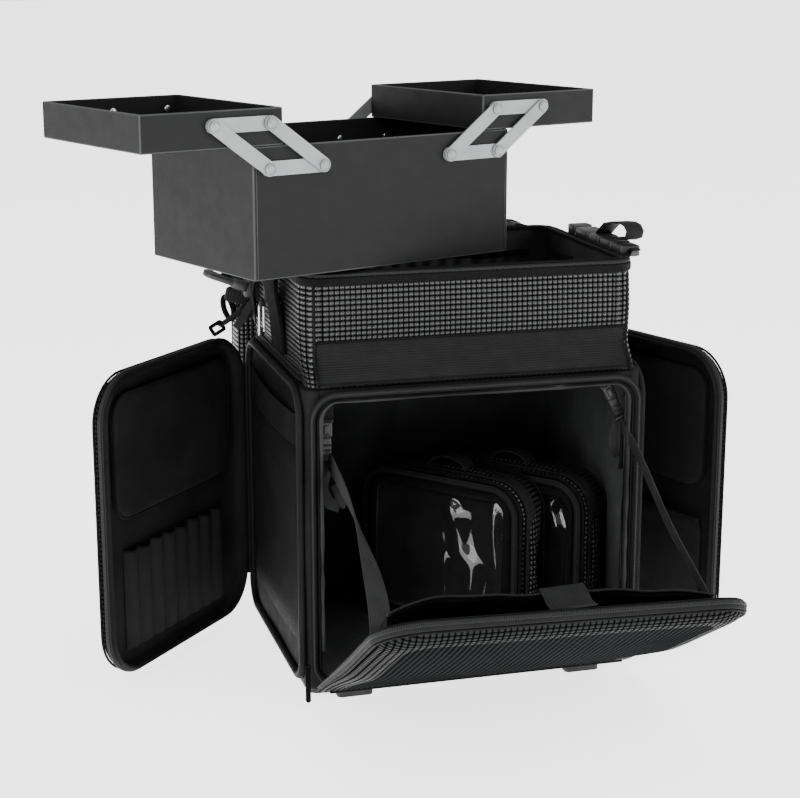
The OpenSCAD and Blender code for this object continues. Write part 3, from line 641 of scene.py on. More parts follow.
zips = Part()
zip_ring(zips, rr(347, 307, 26.5, 10, 16), FRONT, 5.6, tape=5.4, coil=2.6, rise=1.9)
SIDE = {-1: plane((-180, 0, 165), -Y, Z), 1: plane((180, 0, 165), Y, Z)}     # depth out of the side
frames_part = Part()
for s in (-1, 1):
    ring = rr(263, 309, 29.5, 10, 14)
    frames_part.add(sweep(loop_frames(ring, SIDE[s]), slab(9, 5.2, 2.2, b0=-0.3)))
    back = -1 if s > 0 else 1
    run = [p for p in ring if not (p[0] * s > 120 and abs(p[1]) < 125)]
    cut = max(range(len(run)), key=lambda i: math.dist(run[i][:2], run[i - 1][:2]))
    zip_ring(zips, run[cut:] + run[:cut], SIDE[s], 4.7, tape=6, coil=3.6, closed=False, rise=1.1)
zips.build("body_zip_lines", [TAPE, ZIP], "case", replaces=("body_zips",))
frames_part.build("side_frames_padded", NYLON, "case", replaces=("side_frames",))

# side nets and bowed elastic bands
net_flat = 2 * 122 * MM
for s, side in ((-1, "left"), (1, "right")):
    n = 24
    pts = [(-122 + 244 * i / n) for i in range(n + 1)]
    fr = [(Vector((s * (180.6 + 3.4 * math.sin(math.pi * i / n) ** 0.6), y, 48)), Vector((s, 0, 0)), Z)
          for i, y in enumerate(pts)]
    net = Part()
    net.add(sweep(fr, [(0, 0), (0.5, 0)] + [(0.5 + 1.2 * math.sin(math.pi * t / 8), 208 * t / 8) for t in range(1, 9)]
                  + [(0, 208)], closed=False))
    ob = net.build("net_" + side, NET, "case")
    bow = []
    for i, y in enumerate(pts):
        out = 8 * (1 - (y / 122) ** 2)
        bow.append((Vector((s * (180.2 + out), y, 256)), Vector((s, 0, 0)), Z))
    band = Part()
    band.add(sweep(bow, slab(1.6, 34, 0.7, a0=-1.6), closed=False))
    for y in (-122, 122):
        tab = [(Vector((s * 180.4, y + d, 254)), Vector((s, 0, 0)), Z) for d in (-5, 5)]
        band.add(sweep(tab, slab(1.6, 38, 0.5, a0=0), closed=False))
    ob = band.build("elastic_" + side, ELASTIC, "case")
    if s < 0:
        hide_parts("elastic_bands")
        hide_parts("mesh_pockets")

# ---------------------------------------------------------------- upper section

UPPER = plane((0, 6, 0), X, Y)


def spread(z):
    """How far the wall has run out from the upper section's plan (0) to the lower body's (1)."""
    t = max(0.0, min(1.0, (350 - z) / 28))
    return t * t * (3 - 2 * t)


def upper_loop(z, grow=0.0):
    a = rr(350 + 2 * grow, 256 + 2 * grow, 22 + grow, 10, 20, 0, 6)
    b = rr(350 + 2 * grow, 274 + 2 * grow, 15 + grow, 10, 20, 0, -1)
    t = spread(z) if grow > -3 else 0
    return [UPPER(p[0] + (q[0] - p[0]) * t, p[1] - 6 + (q[1] - p[1]) * t, z) for p, q in zip(a, b)]


def front_out(z):
    """Distance of the upper section's front face from the case's middle."""
    return 122 + 16 * spread(z) + 2.2 * math.sin(math.pi * (z - 321) / 111)


levels = [321.3, 323, 326, 330, 335, 340, 345, 350, 358, 366, 374, 382, 390, 398, 406, 414, 422, 428, 431]
loops = [upper_loop(z, 2.2 * math.sin(math.pi * (z - 321) / 111)) for z in levels]
loops += [upper_loop(432, -1), upper_loop(432, -5.5)] + [upper_loop(z, -6) for z in (430, 400, 360, 323)]
up = Part()
up.add(rings(loops + [upper_loop(321.3, -1), loops[0]], poles=(False, False)))
upper = up.build("upper_walls", EMBOSSED, "case", replaces=("upper_shell",))
ruffle(upper, 1.2, 14, 4, keep=lambda p: p.z < 322.5)

ledge = Part()
ledge.add(shell_rings(356, 276, 14, [(4, 318.5, 0.5), (4, 318.5, 1), (0, 319.5, 1), (1, 321.2, 1), (8, 321.4, 1), (12, 321.2, 1),
                                     (12, 321.2, 0.5)], UPRIGHT, nc=8, ns=10))
ledge.build("body_ledge", NYLON, "case", box_uv=True)

inner = Part()
inner.add(sweep(loop_frames(rr(337.6, 243.6, 16, 10, 20), UPPER), wall(322, 432, 1.8, 0, 10, 0.6, 0.8)))
inner.add(shell_rings(337, 243, 15, [(1, 322, 0.02), (1, 322, 1), (0, 322.6, 1), (1.5, 323.6, 1)]
                      + dome_rows(323.6, 324.2, 8, inset=2), UPPER, ns=10))
inner_ob = inner.build("upper_lining_cloth", LIT_LINING, "case", box_uv=True, replaces=("upper_lining",))
ruffle(inner_ob, 1.2, 24, 5)

def gathered(name, start, end, z0, z1, out, seed):
    """A pocket sheet gathered on an elastic at its top."""
    a, b = Vector(start), Vector(end)
    run, out = (b - a), Vector(out)
    n_x, n_z = 96, 12
    verts = []
    for j in range(n_z + 1):
        t = j / n_z
        for i in range(n_x + 1):
            q = i / n_x
            wave = 2.6 * math.sin(q * run.length * 0.33 + 2.2 * noise.noise(Vector((q * 9, t * 2, seed))))
            off = 3.4 + wave * (0.35 + 0.65 * t) * min(1.0, 12 * q, 12 * (1 - q))
            verts.append(a + run * q + out * off + Z * (z0 + (z1 - z0) * t + 1.2 * math.sin(q * 21) * t))
    row = n_x + 1
    quads = [[j * row + i, j * row + i + 1, (j + 1) * row + i + 1, (j + 1) * row + i] for j in range(n_z) for i in range(n_x)]
    part = Part()
    part.add((verts, quads, [[(0, 0)] * 4 for _ in quads]))
    top = verts[-row:]
    part.add(sweep(line_frames(top, out), slab(7, 2.2, 0.9, a0=-3.5, b0=-1.1), closed=False), 1)
    ob = part.build(name, [LIT_LINING, ELASTIC], "case", box_uv=True)


gathered("upper_pocket_right", (166.6, -92, 0), (166.6, 104, 0), 340, 408, -X, 3.0)
gathered("upper_pocket_back", (-146, 125.4, 0), (146, 125.4, 0), 340, 404, -Y, 4.0)

web = Part()
zs = [323 + 43 * i / 14 for i in range(15)]
strip = [(front_out(z) + 1.6, z) for z in zs] + [(front_out(z) - 0.4, z) for z in reversed(zs)]
across = [Vector((-164 + 328 * i / 24, 0, 0)) for i in range(25)]
web.add(sweep([(p, -Y, Z) for p in across], strip, closed=False))
for z in (325.5, 364.5):
    web.add(sweep([(p, -Y, Z) for p in across], slab(1.1, 1.3, 0.4, a0=front_out(z) + 1.3, b0=z), closed=False), 1)
for x in (-165.5, 165.5):
    seam = [Vector((x, -front_out(z) - 1.0, z)) for z in (322.5, 326, 330, 335, 340, 345, 352, 366, 384, 402, 421)]
    web.add(sweep(line_frames(seam, -Y), slab(2.6, 2.4, 1.1, b0=-0.4), closed=False), 1)
web.build("ribbed_web_band", [BAND, BINDING], "case", replaces=("web_band",))

rim = Part()
edge = rr(350, 256, 22, 10, 20)
rim.add(sweep(loop_frames(edge, UPPER), slab(3.2, 8.5, 1.6, a0=-0.4, b0=421.5)), 0)
rim.add(sweep(loop_frames(edge, UPPER), slab(13, 2.2, 1.0, a0=-11.6, b0=431.4)), 2)
rim.add(sweep(loop_frames(edge, UPPER), slab(2.6, 2.8, 1.0, a0=-0.6, b0=430.4)), 1)
rim.add(sweep(loop_frames(edge, UPPER), slab(1.6, 1.6, 0.7, a0=-4.4, b0=433.2)), 0)
rim.add(sweep(loop_frames(edge, UPPER), slab(2.6, 2.4, 1.1, a0=-11.8, b0=432.4)), 0)
side_foot = [p for p in edge if abs(p[0]) > 160 or p[1] > 110]
start = max(range(len(side_foot)), key=lambda i: math.dist(side_foot[i][:2], side_foot[i - 1][:2]))
side_foot = side_foot[start:] + side_foot[:start]
rim.add(sweep(loop_frames(side_foot, UPPER), slab(2.6, 11, 1.0, a0=-0.6, b0=322), closed=False), 0)
for z in (324.5, 331.5):
    rim.add(sweep(loop_frames(side_foot, UPPER), slab(1.6, 1.6, 0.7, a0=1.6, b0=z), closed=False), 1)
rim.build("rim_zip_lines", [BINDING, ZIP, TAPE], "case", replaces=("rim_zip",))


# ---------------------------------------------------------------- hard CAD nodes

def dress(node, mat):
    ob = frame["nodes"][node]
    ob.data.materials.clear()
    ob.data.materials.append(mat)


for node, mat in (("base_board", BOARD), ("feet", RUBBER), ("wheel_housings", PLASTIC), ("wheel_axles", STEEL),
                  ("wheel_left", RUBBER), ("wheel_right", RUBBER), ("hub_left", GREY_PLASTIC), ("hub_right", GREY_PLASTIC),
                  ("handle_brackets", PLASTIC), ("outer_tubes", TUBE), ("mid_tubes", TUBE), ("inner_rods", TUBE),
                  ("grip", RUBBER), ("button", GREY_PLASTIC),
                  ("box_bars", BARS), ("tray_left_bars", BARS), ("tray_right_bars", BARS), ("link_left_a", BARS),
                  ("link_left_b", BARS), ("link_right_a", BARS), ("link_right_b", BARS), ("front_pull", BLACK)):
    dress(node, mat)


# ---------------------------------------------------------------- buckles, straps and the long pull

def chunk(part, centre, a, b, w, h, t, r, mat=0):
    """A rounded block, t thick, on the plane through its centre."""
    a, b = Vector(a).normalized(), Vector(b).normalized()
    place = plane(centre, a, b)
    e = min(1.3, t / 3)
    rows = [(w / 2 - 0.6, -t / 2, 1)] if w < h else []
    rows = [(e * 2, -t / 2, 0.02), (e * 2, -t / 2, 1), (e * 0.5, -t / 2 + e * 0.4, 1), (0, -t / 2 + e, 1), (0, t / 2 - e, 1),
            (e * 0.5, t / 2 - e * 0.4, 1), (e * 2, t / 2, 1), (e * 2, t / 2, 0.02)]
    made = shell_rings(w, h, r, rows, place, nc=5, ns=2)
    part.add(made[:3], mat)


def band(part, points, width, thick, up, mat=0):
    part.add(sweep(line_frames(points, up), slab(width, thick, thick * 0.4, a0=-width / 2), closed=False), mat)


# left side: a flat bar buckle, a draped strap and short strap ends
lean = Vector((48.5, 0, -19)).normalized()
bk = Part()
chunk(bk, (-212, 109, 392), lean, Y, 50, 24, 7.5, 10)
chunk(bk, (-197, 109, 386.5), lean, Y, 20, 26, 11, 5)
chunk(bk, (-228, 109, 398.6), lean, Y, 9, 15, 9, 4)
chunk(bk, (-186, 109, 381), X, Z, 14, 18, 22, 4)
for y, w in ((61, 18), (27, 34), (-9, 26), (-42, 30), (-72, 26)):
    chunk(bk, (185, y, 438.6 - 0.02 * (61 - y)), Y, X, w, 26 - abs(y) * 0.04, 12, 3)
for y in (44, 6, -24, -57):
    chunk(bk, (185, y, 438), Y, X, 12, 18, 9, 2)
bk.build("side_buckle_set", [GREY_PLASTIC], "case", box_uv=True, smooth=True, replaces=("side_buckles",))

sw = Part()
drape = [Vector(q) for q in ((-168, -19, 437), (-176, -19, 437.6), (-183, -19, 433), (-187.5, -19, 422), (-187, -19, 406), (-184, -19, 388),
                             (-181, -19, 368), (-179.4, -19, 350), (-178.6, -19, 338))]
sw.add(sweep(line_frames(drape, -X), slab(56, 5.0, 2.0, a0=-28, b0=-2.5), closed=False), 0)
roll = [Vector((-186.5, y, 424 - 0.1 * abs(y + 19))) for y in (-44, -40, -30, -19, -8, 2, 6)]
sw.add(sweep(line_frames(roll, Z), slab(12, 12, 5.4, b0=-6), closed=False), 0)
chunk(sw, (-178.4, 109, 385), Y, Z, 30, 34, 4.5, 3, 1)
chunk(sw, (-181, 109, 385), Y, Z, 26, 14, 3, 2, 1)
band(sw, [Vector(q) for q in ((-178, 104, 372), (-184, 106, 362), (-193, 109, 348), (-200, 109, 337))], 9, 1.8, Y, 2)
band(sw, [Vector(q) for q in ((-178, 118, 368), (-190, 116, 356), (-206, 112, 346), (-219, 109, 339))], 12, 2.2, Z, 1)
band(sw, [Vector(q) for q in ((-178, 88, 402), (-182, 92, 396), (-184, 98, 380), (-181, 102, 362), (-179, 106, 345))], 15, 2.0, -X, 1)
chunk(sw, (-201, 117, 398), (1, 0, -0.35), (0.35, 0, 1), 24, 17, 9, 4, 3)
chunk(sw, (-195, 120, 371), (1, 0, -0.2), (0.2, 0, 1), 30, 17, 8, 5, 3)
chunk(sw, (-186, 118, 353), X, Z, 20, 14, 7, 5, 3)
sw.add(sweep(loop_frames(rr(15, 12, 2, 3, 2, 0, 0), plane((-222, 109, 338), (0.87, 0, 0.5), (-0.5, 0, 0.87))), slab(4.2, 2.6, 0.9, a0=-3.2)), 0)
hoop = [Vector((188.5, y, z)) for y, z in ((-2, 443.5), (-12, 450), (-24, 457), (-44, 461), (-66, 463.5), (-80, 462.5), (-87.5, 457.5), (-84, 450.5),
                                           (-70, 446.5), (-52, 445.6))]
sw.add(sweep(line_frames(hoop, lambda i: Vector((0, 0.3, 1)) if i < 5 else Vector((0, -1, 0.2)) if i < 7 else Vector((0, 0.2, -1))),
             slab(20, 2.0, 0.8, a0=-10, b0=-1), closed=False), 1)
for y, w in ((-82, 28), (19, 26)):
    chunk(sw, (177.6, y, 420), Y, Z, w, 24, 2.6, 2, 1)
    band(sw, [Vector(q) for q in ((177.4, y, 428), (179.4, y, 434), (184, y, 437.5), (192, y, 438))], w, 1.8, lambda i: (X, X, Z, Z)[i], 1)
sw.build("side_strap_set", [BLACK, WEBBING, STRAP, TAB], "case", replaces=("side_webbing",))

loop = Part()
around_loop = [(Vector((-190.6 + 4.6 * math.cos(a) - 3.0 * math.sin(a), 211, 340 + 12.4 * math.sin(a))),
                Vector((math.cos(a), 0, 0.5 * math.sin(a))).normalized(), Y) for a in (math.tau * i / 28 for i in range(28))]
loop.add(sweep(around_loop, slab(6.4, 10, 2.8, a0=-2.6, b0=-5)))
loop.build("lid_web_loop", BLACK, "lid", replaces=("lid_loop",))

pull = Part()
pull.add(sweep(line_frames([Vector((-182.4, 33, z)) for z in (427, 420, 400, 380)], Y), slab(2.4, 5.2, 1.0, a0=-1.2, b0=-2.6), closed=False), 0)
pull.add(sweep(loop_frames(rr(8, 34, 3.4, 5, 3, 0, 361), plane((-187.2, 34, 0), (0.82, 0.57, 0), Z)), slab(2.2, 2.2, 0.8, a0=-1.6)), 1)
chunk(pull, (-185.4, 33, 378), (0.82, 0.57, 0), Z, 8, 8, 3.6, 1.5, 0)
chunk(pull, (-187.2, 34, 347), (0.82, 0.57, 0), Z, 9, 9, 2.4, 1.5, 1)
pull.build("rim_pull_long", [RUBBER, STEEL], "rim_zip_pull", box_uv=True, replaces=("rim_pull",))

tabs = Part()
for s in (-1, 1):
    path = [Vector((s * 120, y, z)) for y, z in ((135.6, 404), (136, 422), (138.5, 429.5), (147, 431.6), (168, 431.8), (186, 431.4))]
    tabs.add(sweep(line_frames(path, lambda i: (Y, Y, Vector((0, 1, 1)), Z, Z, Z)[i]), slab(40, 2.0, 0.8, a0=-20, b0=-1), closed=False))
    ring = [(3.4 * math.cos(a), 3.4 * math.sin(a)) for a in (math.tau * i / 16 for i in range(16))]
    tabs.add(sweep([(Vector((s * 120 + d, 190, 431)), Y, Z) for d in (-20, 20)], ring, closed=False))
tabs.build("lid_tab_set", WEBBING, "case", replaces=("lid_tabs",))

# ---------------------------------------------------------------- drop panel

CLOSED = plane((0, -149.2, 8.5), X, Z)    # depth = -Y; second axis = distance from the hinge


def panel_outline(inset, n=8, r=44.0):
    """Plan of the drop panel: square at the hinge, round at the free edge."""
    w, h = 348 - 2 * inset, 310 - inset
    r = max(r - inset, 2)
    foot = 0.0
    pts = [(-w / 2 + w * i / 16, foot) for i in range(16)]
    pts += [(w / 2, foot + (h - r - foot) * i / 14) for i in range(14)]
    pts += [(w / 2 - r + r * math.cos(a), h - r + r * math.sin(a)) for a in (math.pi / 2 * i / n for i in range(n))]
    pts += [(w / 2 - r - (w - 2 * r) * i / 16, h) for i in range(16)]
    pts += [(-w / 2 + r - r * math.sin(a), h - r + r * math.cos(a)) for a in (math.pi / 2 * i / n for i in range(n))]
    pts += [(-w / 2, h - r - (h - r - foot) * i / 14) for i in range(14)]
    return pts


def twist(x, d, w):
    """The open panel hangs a little lower toward its right."""
    turn = math.radians(0.8) * (1 + max(-1.0, min(1.2, x / 174)))
    flare = 1 + 0.03 * (max(d, 0) / 310) ** 1.5
    return x * flare + 4 * (max(d, 0) / 310) ** 1.3, d * math.cos(turn), w + math.sin(turn) * d


def taper(d):
    """Share of the full padding at distance d from the hinge."""
    k = max(0.0, min(1.0, d / 170))
    return 0.25 + 0.75 * k * k * (3 - 2 * k)


def panel_point(x, d, w):
    a, b, c = twist(x, d, w * taper(d) if w > 0 else w)
    return CLOSED(a, b, c)


def panel_rows(rows, centre=(0, 150)):
    loops = []
    for inset, depth, k in rows:
        lp = []
        for x, d in panel_outline(inset):
            px, pd = centre[0] + (x - centre[0]) * k, centre[1] + (d - centre[1]) * k
            lp.append(panel_point(px, pd, depth))
        loops.append(lp)
    return loops


rows = [(7, 11.4, k) for k in (0.02, 0.3, 0.6, 0.85, 1)]
rows += [(6, 9, 1), (5, 4, 1), (4, 1.2, 1), (2.5, 0.2, 1), (1, 1.0, 1), (0, 4, 1), (0, 7, 1), (0.8, 10, 1), (2.6, 12.8, 1), (5.4, 15.2, 1),
         (9, 17.2, 1), (13.5, 18.9, 1), (19, 20.4, 1)]
shoulder = len(rows)
rows += [(19, 20.4 + 4.7 * (1 - k ** 2.2), k) for k in (0.94, 0.86, 0.76, 0.64, 0.5, 0.36, 0.2, 0.05)]
shell = Part()
# The outer rows take the shaded copies of the embossed cloth (painted shade).
shell.add(rings(panel_rows(rows), mats=[0] * 6 + [1] * 6 + [3] * (shoulder - 12) + [2] * (len(rows) - 1 - shoulder)))
drop = shell.build("drop_panel_padded", [LINING, BINDING, SHADED_EMBOSSED, SHADED_EMBOSSED_EDGE], "drop_panel", at=PANEL, box_uv=True,
                   replaces=("drop_shell",))


def panel_edge(off, depth):
    """Frames along the panel's three zipped sides."""
    pts = panel_outline(off)[17:]
    p3 = [panel_point(x, d, depth) for x, d in pts]
    frames = line_frames(p3, lambda i: Vector((0, -1, 0)))
    return [(p, o, u * taper(d)) for (p, o, u), (x, d) in zip(frames, pts)]


zp = Part()
zp.add(sweep(panel_edge(-0.4, 2.4), slab(2.2, 9, 0.9, a0=-1.2), closed=False), 0)
zp.add(sweep(panel_edge(-1.2, 3.4), slab(2.2, 4.2, 1.0, a0=-1.0), closed=False), 1)
zp.add(sweep(panel_edge(0.6, 0.6), slab(2.2, 2.2, 1.0, a0=-1.2), closed=False), 2)
zp.add(sweep(panel_edge(1.2, 11.2), slab(2.4, 2.4, 1.1, a0=-1.2), closed=False), 2)
zp.build("drop_panel_zip", [TAPE, ZIP, BINDING], "drop_panel", at=PANEL, replaces=("drop_zip",))

line = [Vector((0, y, z)) for y, z in ((-139, 9.5), (-143, 10.6), (-147, 9.6))]
line += [PANEL @ (Vector((0, y, z)) * MM) / MM for y, z in ((-150.6, 9.0), (-152.6, 9.6), (-154.9, 12.5))]
hinge_part = Part()
hinge_part.add(sweep([(Vector((x, 0, 0)), Y, Z) for x in (-160, -80, 0, 80, 160)],
                     [(p.y, p.z) for p in line] + [(p.y, p.z - 1.2) for p in reversed(line)], closed=False))
hinge_front = hinge_part.build("hinge_cloth_front", NYLON, None, box_uv=True)
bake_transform(hinge_front)

# the pocket on the panel's inner face leans away from the panel toward its open top
POCKET_TOP = 256.0


def pocket_depth(x, d):
    side = max(0.0, 1 - (abs(x) / 154) ** 6)
    wave = 1.1 * math.sin(x * 0.045) + 0.7 * math.sin(x * 0.11 + 1)
    return 0.6 - (17.0 + 11.0 * side * (1 - x / 500) + wave * side) * (d / POCKET_TOP) ** 1.15 + 3.2 * (1 + x / 174) * d / POCKET_TOP


cols = [(-157.5, 1.0), (-156.5, 0.5)] + [(-154 + 308 * i / 36, 0.0) for i in range(37)] + [(156.5, 0.5), (157.5, 1.0)]
rows_d = [7, 40, 80, 120, 160, 195, 220, 238, 250, 256]
verts, faces = [], []
for lay in (0.0, 1.4):
    for d in rows_d:
        for x, k in cols:
            top = pocket_depth(x, d)
            verts.append(panel_point(x - math.copysign(lay * (1 if k else 0), x), d, top * (1 - k) + 11.2 * k + (lay if not k else 0)))
m, block = len(cols), len(cols) * len(rows_d)
for lay in (0, 1):
    for k in range(len(rows_d) - 1):
        for i in range(m - 1):
            a = lay * block + k * m + i
            faces.append([a, a + 1, a + m + 1, a + m])
last = block - m
for i in range(m - 1):
    faces.append([last + i, last + i + 1, block + last + i + 1, block + last + i])
pk = Part()
pk.add((verts, faces, [[(0, 0)] * 4 for _ in faces]))
pocket = pk.build("drop_pocket_cloth", POCKET, "drop_panel", at=PANEL, box_uv=True, replaces=("drop_pocket",))
ruffle(pocket, 1.6, 20, 9)
bind = Part()
top = [panel_point(x, POCKET_TOP + 0.5, pocket_depth(x, POCKET_TOP)) for x, k in cols if not k]
bind.add(sweep(line_frames(top, -Y), slab(6.5, 2.6, 1.2, a0=-6, b0=-1.6), closed=False))
bind.build("drop_pocket_binding", TAPE, "drop_panel", at=PANEL)
tab = Part()
tab_pts = [panel_point(20 - 20 * (d - 205) / 104, d, w) for d, w in ((205, -19.2), (232, -24.4), (252, -29.2), (259, -30.2), (264, -28.2), (272, -21.4), (286, -9.8), (300, -2.5), (309, -0.5))]
tab.add(sweep(line_frames(tab_pts, -Y), slab(42, 2.0, 0.8, a0=-21, b0=-1), closed=False))
tab.build("drop_pocket_tab", TAB, "drop_panel", at=PANEL)


# ---------------------------------------------------------------- side doors

def door(side, sign, turn):
    body = side + "_door"
    place = plane((sign * DOOR_X, 0, 164), -Y if sign < 0 else Y, Z)   # depth out of the closed door
    hin = 1 if sign > 0 else -1
    rows = [(8, 13.6, k) for k in (0.02, 0.3, 0.6, 0.85, 1)]
    rows += [(7, 11.5, 1), (6, 6, 1), (5, 2, 1), (3, 0.3, 1), (1, 1.2, 1), (0, 4.5, 1), (0, 10.5, 1), (1, 14.5, 1), (3.5, 17.4, 1), (8, 18.8, 1)]
    rows += [(8, 18.8 + 5.5 * (1 - k ** 2.4), k) for k in (0.93, 0.84, 0.73, 0.6, 0.45, 0.3, 0.15, 0.04)]
    sh = Part()
    # The outer face takes the shaded copy of the embossed cloth (painted shade).
    sh.add(shell_rings(268, 322, 50, rows, place, nc=10, ns=14, mats=[0] * 6 + [1] * 4 + [2] * (len(rows) - 11)))
    ob = sh.build(body + "_padded", [LINING, BINDING, SHADED_EMBOSSED], body, at=turn, box_uv=True,
                  replaces=("door_%s_shell" % side,))
    z = Part()
    z.add(sweep(loop_frames(rr(268.6, 322.6, 50.5, 10, 14), place), slab(2.4, 7, 0.9, a0=-1.2, b0=3.6)), 0)
    z.add(sweep(loop_frames(rr(271, 325, 51.5, 10, 14), place), slab(2.2, 3.6, 0.9, a0=-1.1, b0=5.2)), 1)
    z.add(sweep(loop_frames(rr(267, 321, 49, 10, 14), place), slab(2.6, 2.6, 1.2, a0=-1.0, b0=14.6)), 2)
    z.add(sweep(loop_frames(rr(263, 317, 47, 10, 14), place), slab(2.2, 2.0, 0.9, a0=-1.0, b0=-0.2)), 2)
    z.build(body + "_zip_lines", [TAPE, ZIP, BINDING], body, at=turn, replaces=("door_%s_zip" % side,))
    pockets = Part()
    pad = [(2, 13.4, 0.02), (2, 13.4, 1), (0, 12.6, 1), (0.2, 10.4, 1), (2, 8.8, 1), (5, 8.2, 1), (9, 8.0, 1)]
    pad += [(9, 8.0 + 0.4 * math.cos(i), k) for i, k in enumerate((0.9, 0.75, 0.6, 0.4, 0.2, 0.03))]
    pockets.add(shell_rings(222, 136, 26, pad, place, nc=8, ns=10, cy=72))
    if sign > 0:
        pockets.add(shell_rings(216, 112, 16, pad, place, nc=8, ns=10, cy=-85))
    else:
        n_slots, slot = 8, 24.0
        verts, faces = [], []
        cols = n_slots * 10
        levels = [0, 12, 30, 55, 80, 97, 106, 110]
        for lay in (0, 1):
            for zz in levels:
                for i in range(cols + 1):
                    t = (i / 10) % 1.0
                    q = int(min(i, cols - 1) / 10)
                    hump = math.sin(math.pi * t)
                    out = 12.2 - (0.3 + 5.6 * hump ** 0.8 * (0.55 + 0.45 * zz / 110)) + (0.9 if lay else 0)
                    drop_ = (2.5 * hump + 1.4 * math.sin(q * 2.3)) * (zz / 110) ** 2
                    verts.append(place(-n_slots * slot / 2 + slot * i / 10, -139 + zz - drop_, min(out, 13.3)))
        row, block = cols + 1, (cols + 1) * len(levels)
        for lay in (0, 1):
            for k in range(len(levels) - 1):
                for i in range(cols):
                    a = lay * block + k * row + i
                    faces.append([a, a + 1, a + row + 1, a + row])
        last = (len(levels) - 1) * row
        for i in range(cols):
            faces.append([last + i, last + i + 1, block + last + i + 1, block + last + i])
        pockets.add((verts, faces, [[(0, 0)] * 4 for _ in faces]))
    ob = pockets.build(body + "_pocket_cloth", POCKET, body, at=turn, box_uv=True,
                       replaces=("door_%s_pockets" % side,))
    binding = Part()
    binding.add(sweep(loop_frames(rr(220, 134, 25, 8, 10, 0, 72), place), slab(2.4, 2.2, 1.0, a0=-1.2, b0=8.2)))
    if sign > 0:
        top = [place(-107 + 214 * i / 20, -31, 8.2 + 0.5 * math.sin(i)) for i in range(21)]
        binding.add(sweep(line_frames(top, lambda i: Vector((sign, 0, 0))), slab(6, 2.4, 1.0), closed=False))
    binding.build(body + "_pocket_binding", BINDING, body, at=turn)


door("left", -1, LEFT)
door("right", 1, RIGHT)


def hinge_cloth(side, s, turn):
    """The strip of cloth that joins a door's back edge to the body."""
    body = [Vector((s * 180.2, y, 0)) * MM for y in (126, 132, 137)]
    edge = [turn @ (Vector((s * (DOOR_X + d), y, 0)) * MM) for d, y in ((-0.6, 135.2), (3, 135.6), (8, 134.4))]
    line = [p / MM for p in body + edge]
    part = Part()
    zs = [40 + 250 * i / 12 for i in range(13)]
    verts = [Vector((p.x, p.y + lay, z)) for lay in (0, 1.1) for z in zs for p in line]
    m, block = len(line), len(line) * len(zs)
    faces = [[lay * block + k * m + i + j for j in (0, 1, m + 1, m)] for lay in (0, 1) for k in range(12) for i in range(m - 1)]
    part.add((verts, faces, [[(0, 0)] * 4 for _ in faces]))
    ob = part.build("hinge_cloth_" + side, NYLON, None, box_uv=True)
    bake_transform(ob)


hinge_cloth("left", -1, LEFT)
hinge_cloth("right", 1, RIGHT)

# ---------------------------------------------------------------- lid

LID = plane((0, 187, 297), -X, Z)          # depth = +Y, out of the lid's hollow
rows = [(6, 2.6, 0.02), (6, 2.4, 0.3), (6, 1.6, 0.6), (6, 1.0, 0.8), (6, 0.8, 0.93), (6, 0.8, 1), (2, 2.2, 1), (0.3, 5, 1)]
rows += [(-1.0 * math.sin(math.pi * t), 5 + 41 * t, 1) for t in (0.15, 0.3, 0.5, 0.7, 0.85, 1)]
rows += [(0.4, 48.6, 1), (2, 49.8, 1), (4, 49.2, 1), (5, 46, 1), (5.4, 25, 1), (5.6, 9, 1), (8, 5.4, 1)]
rows += [(8, 5, k) for k in (0.9, 0.7, 0.5, 0.3, 0.1, 0.02)]
ld = Part()
cut_in = 16
ld.add(shell_rings(364, 258, 24, rows, LID, nc=8, ns=14, mats=[0] * cut_in + [1] * (len(rows) - 1 - cut_in)))
lid = ld.build("lid_padded", [EMBOSSED, LINING], "lid", box_uv=True, replaces=("lid_shell",))
ruffle(lid, 1.6, 12, 7)
lz = Part()
lz.add(sweep(loop_frames(rr(361, 255, 23, 8, 14), LID), slab(5, 1.2, 0.5, b0=49.0)), 0)
lz.add(sweep(loop_frames(rr(360, 254, 22, 8, 14), LID), slab(3.6, 2.4, 1.0, b0=50.0)), 1)
lz.add(sweep(loop_frames(rr(364.5, 258.5, 24, 8, 14), LID), slab(2.4, 2.4, 1.1, b0=3.4)), 2)
lz.add(sweep(loop_frames(rr(364.5, 258.5, 24, 8, 14), LID), slab(1.4, 12, 0.6, a0=-0.4, b0=36)), 2)
lz.build("lid_zip_lines", [TAPE, ZIP, BINDING], "lid", replaces=("lid_zip",))

# ---------------------------------------------------------------- tray box

EDGE = 1.3


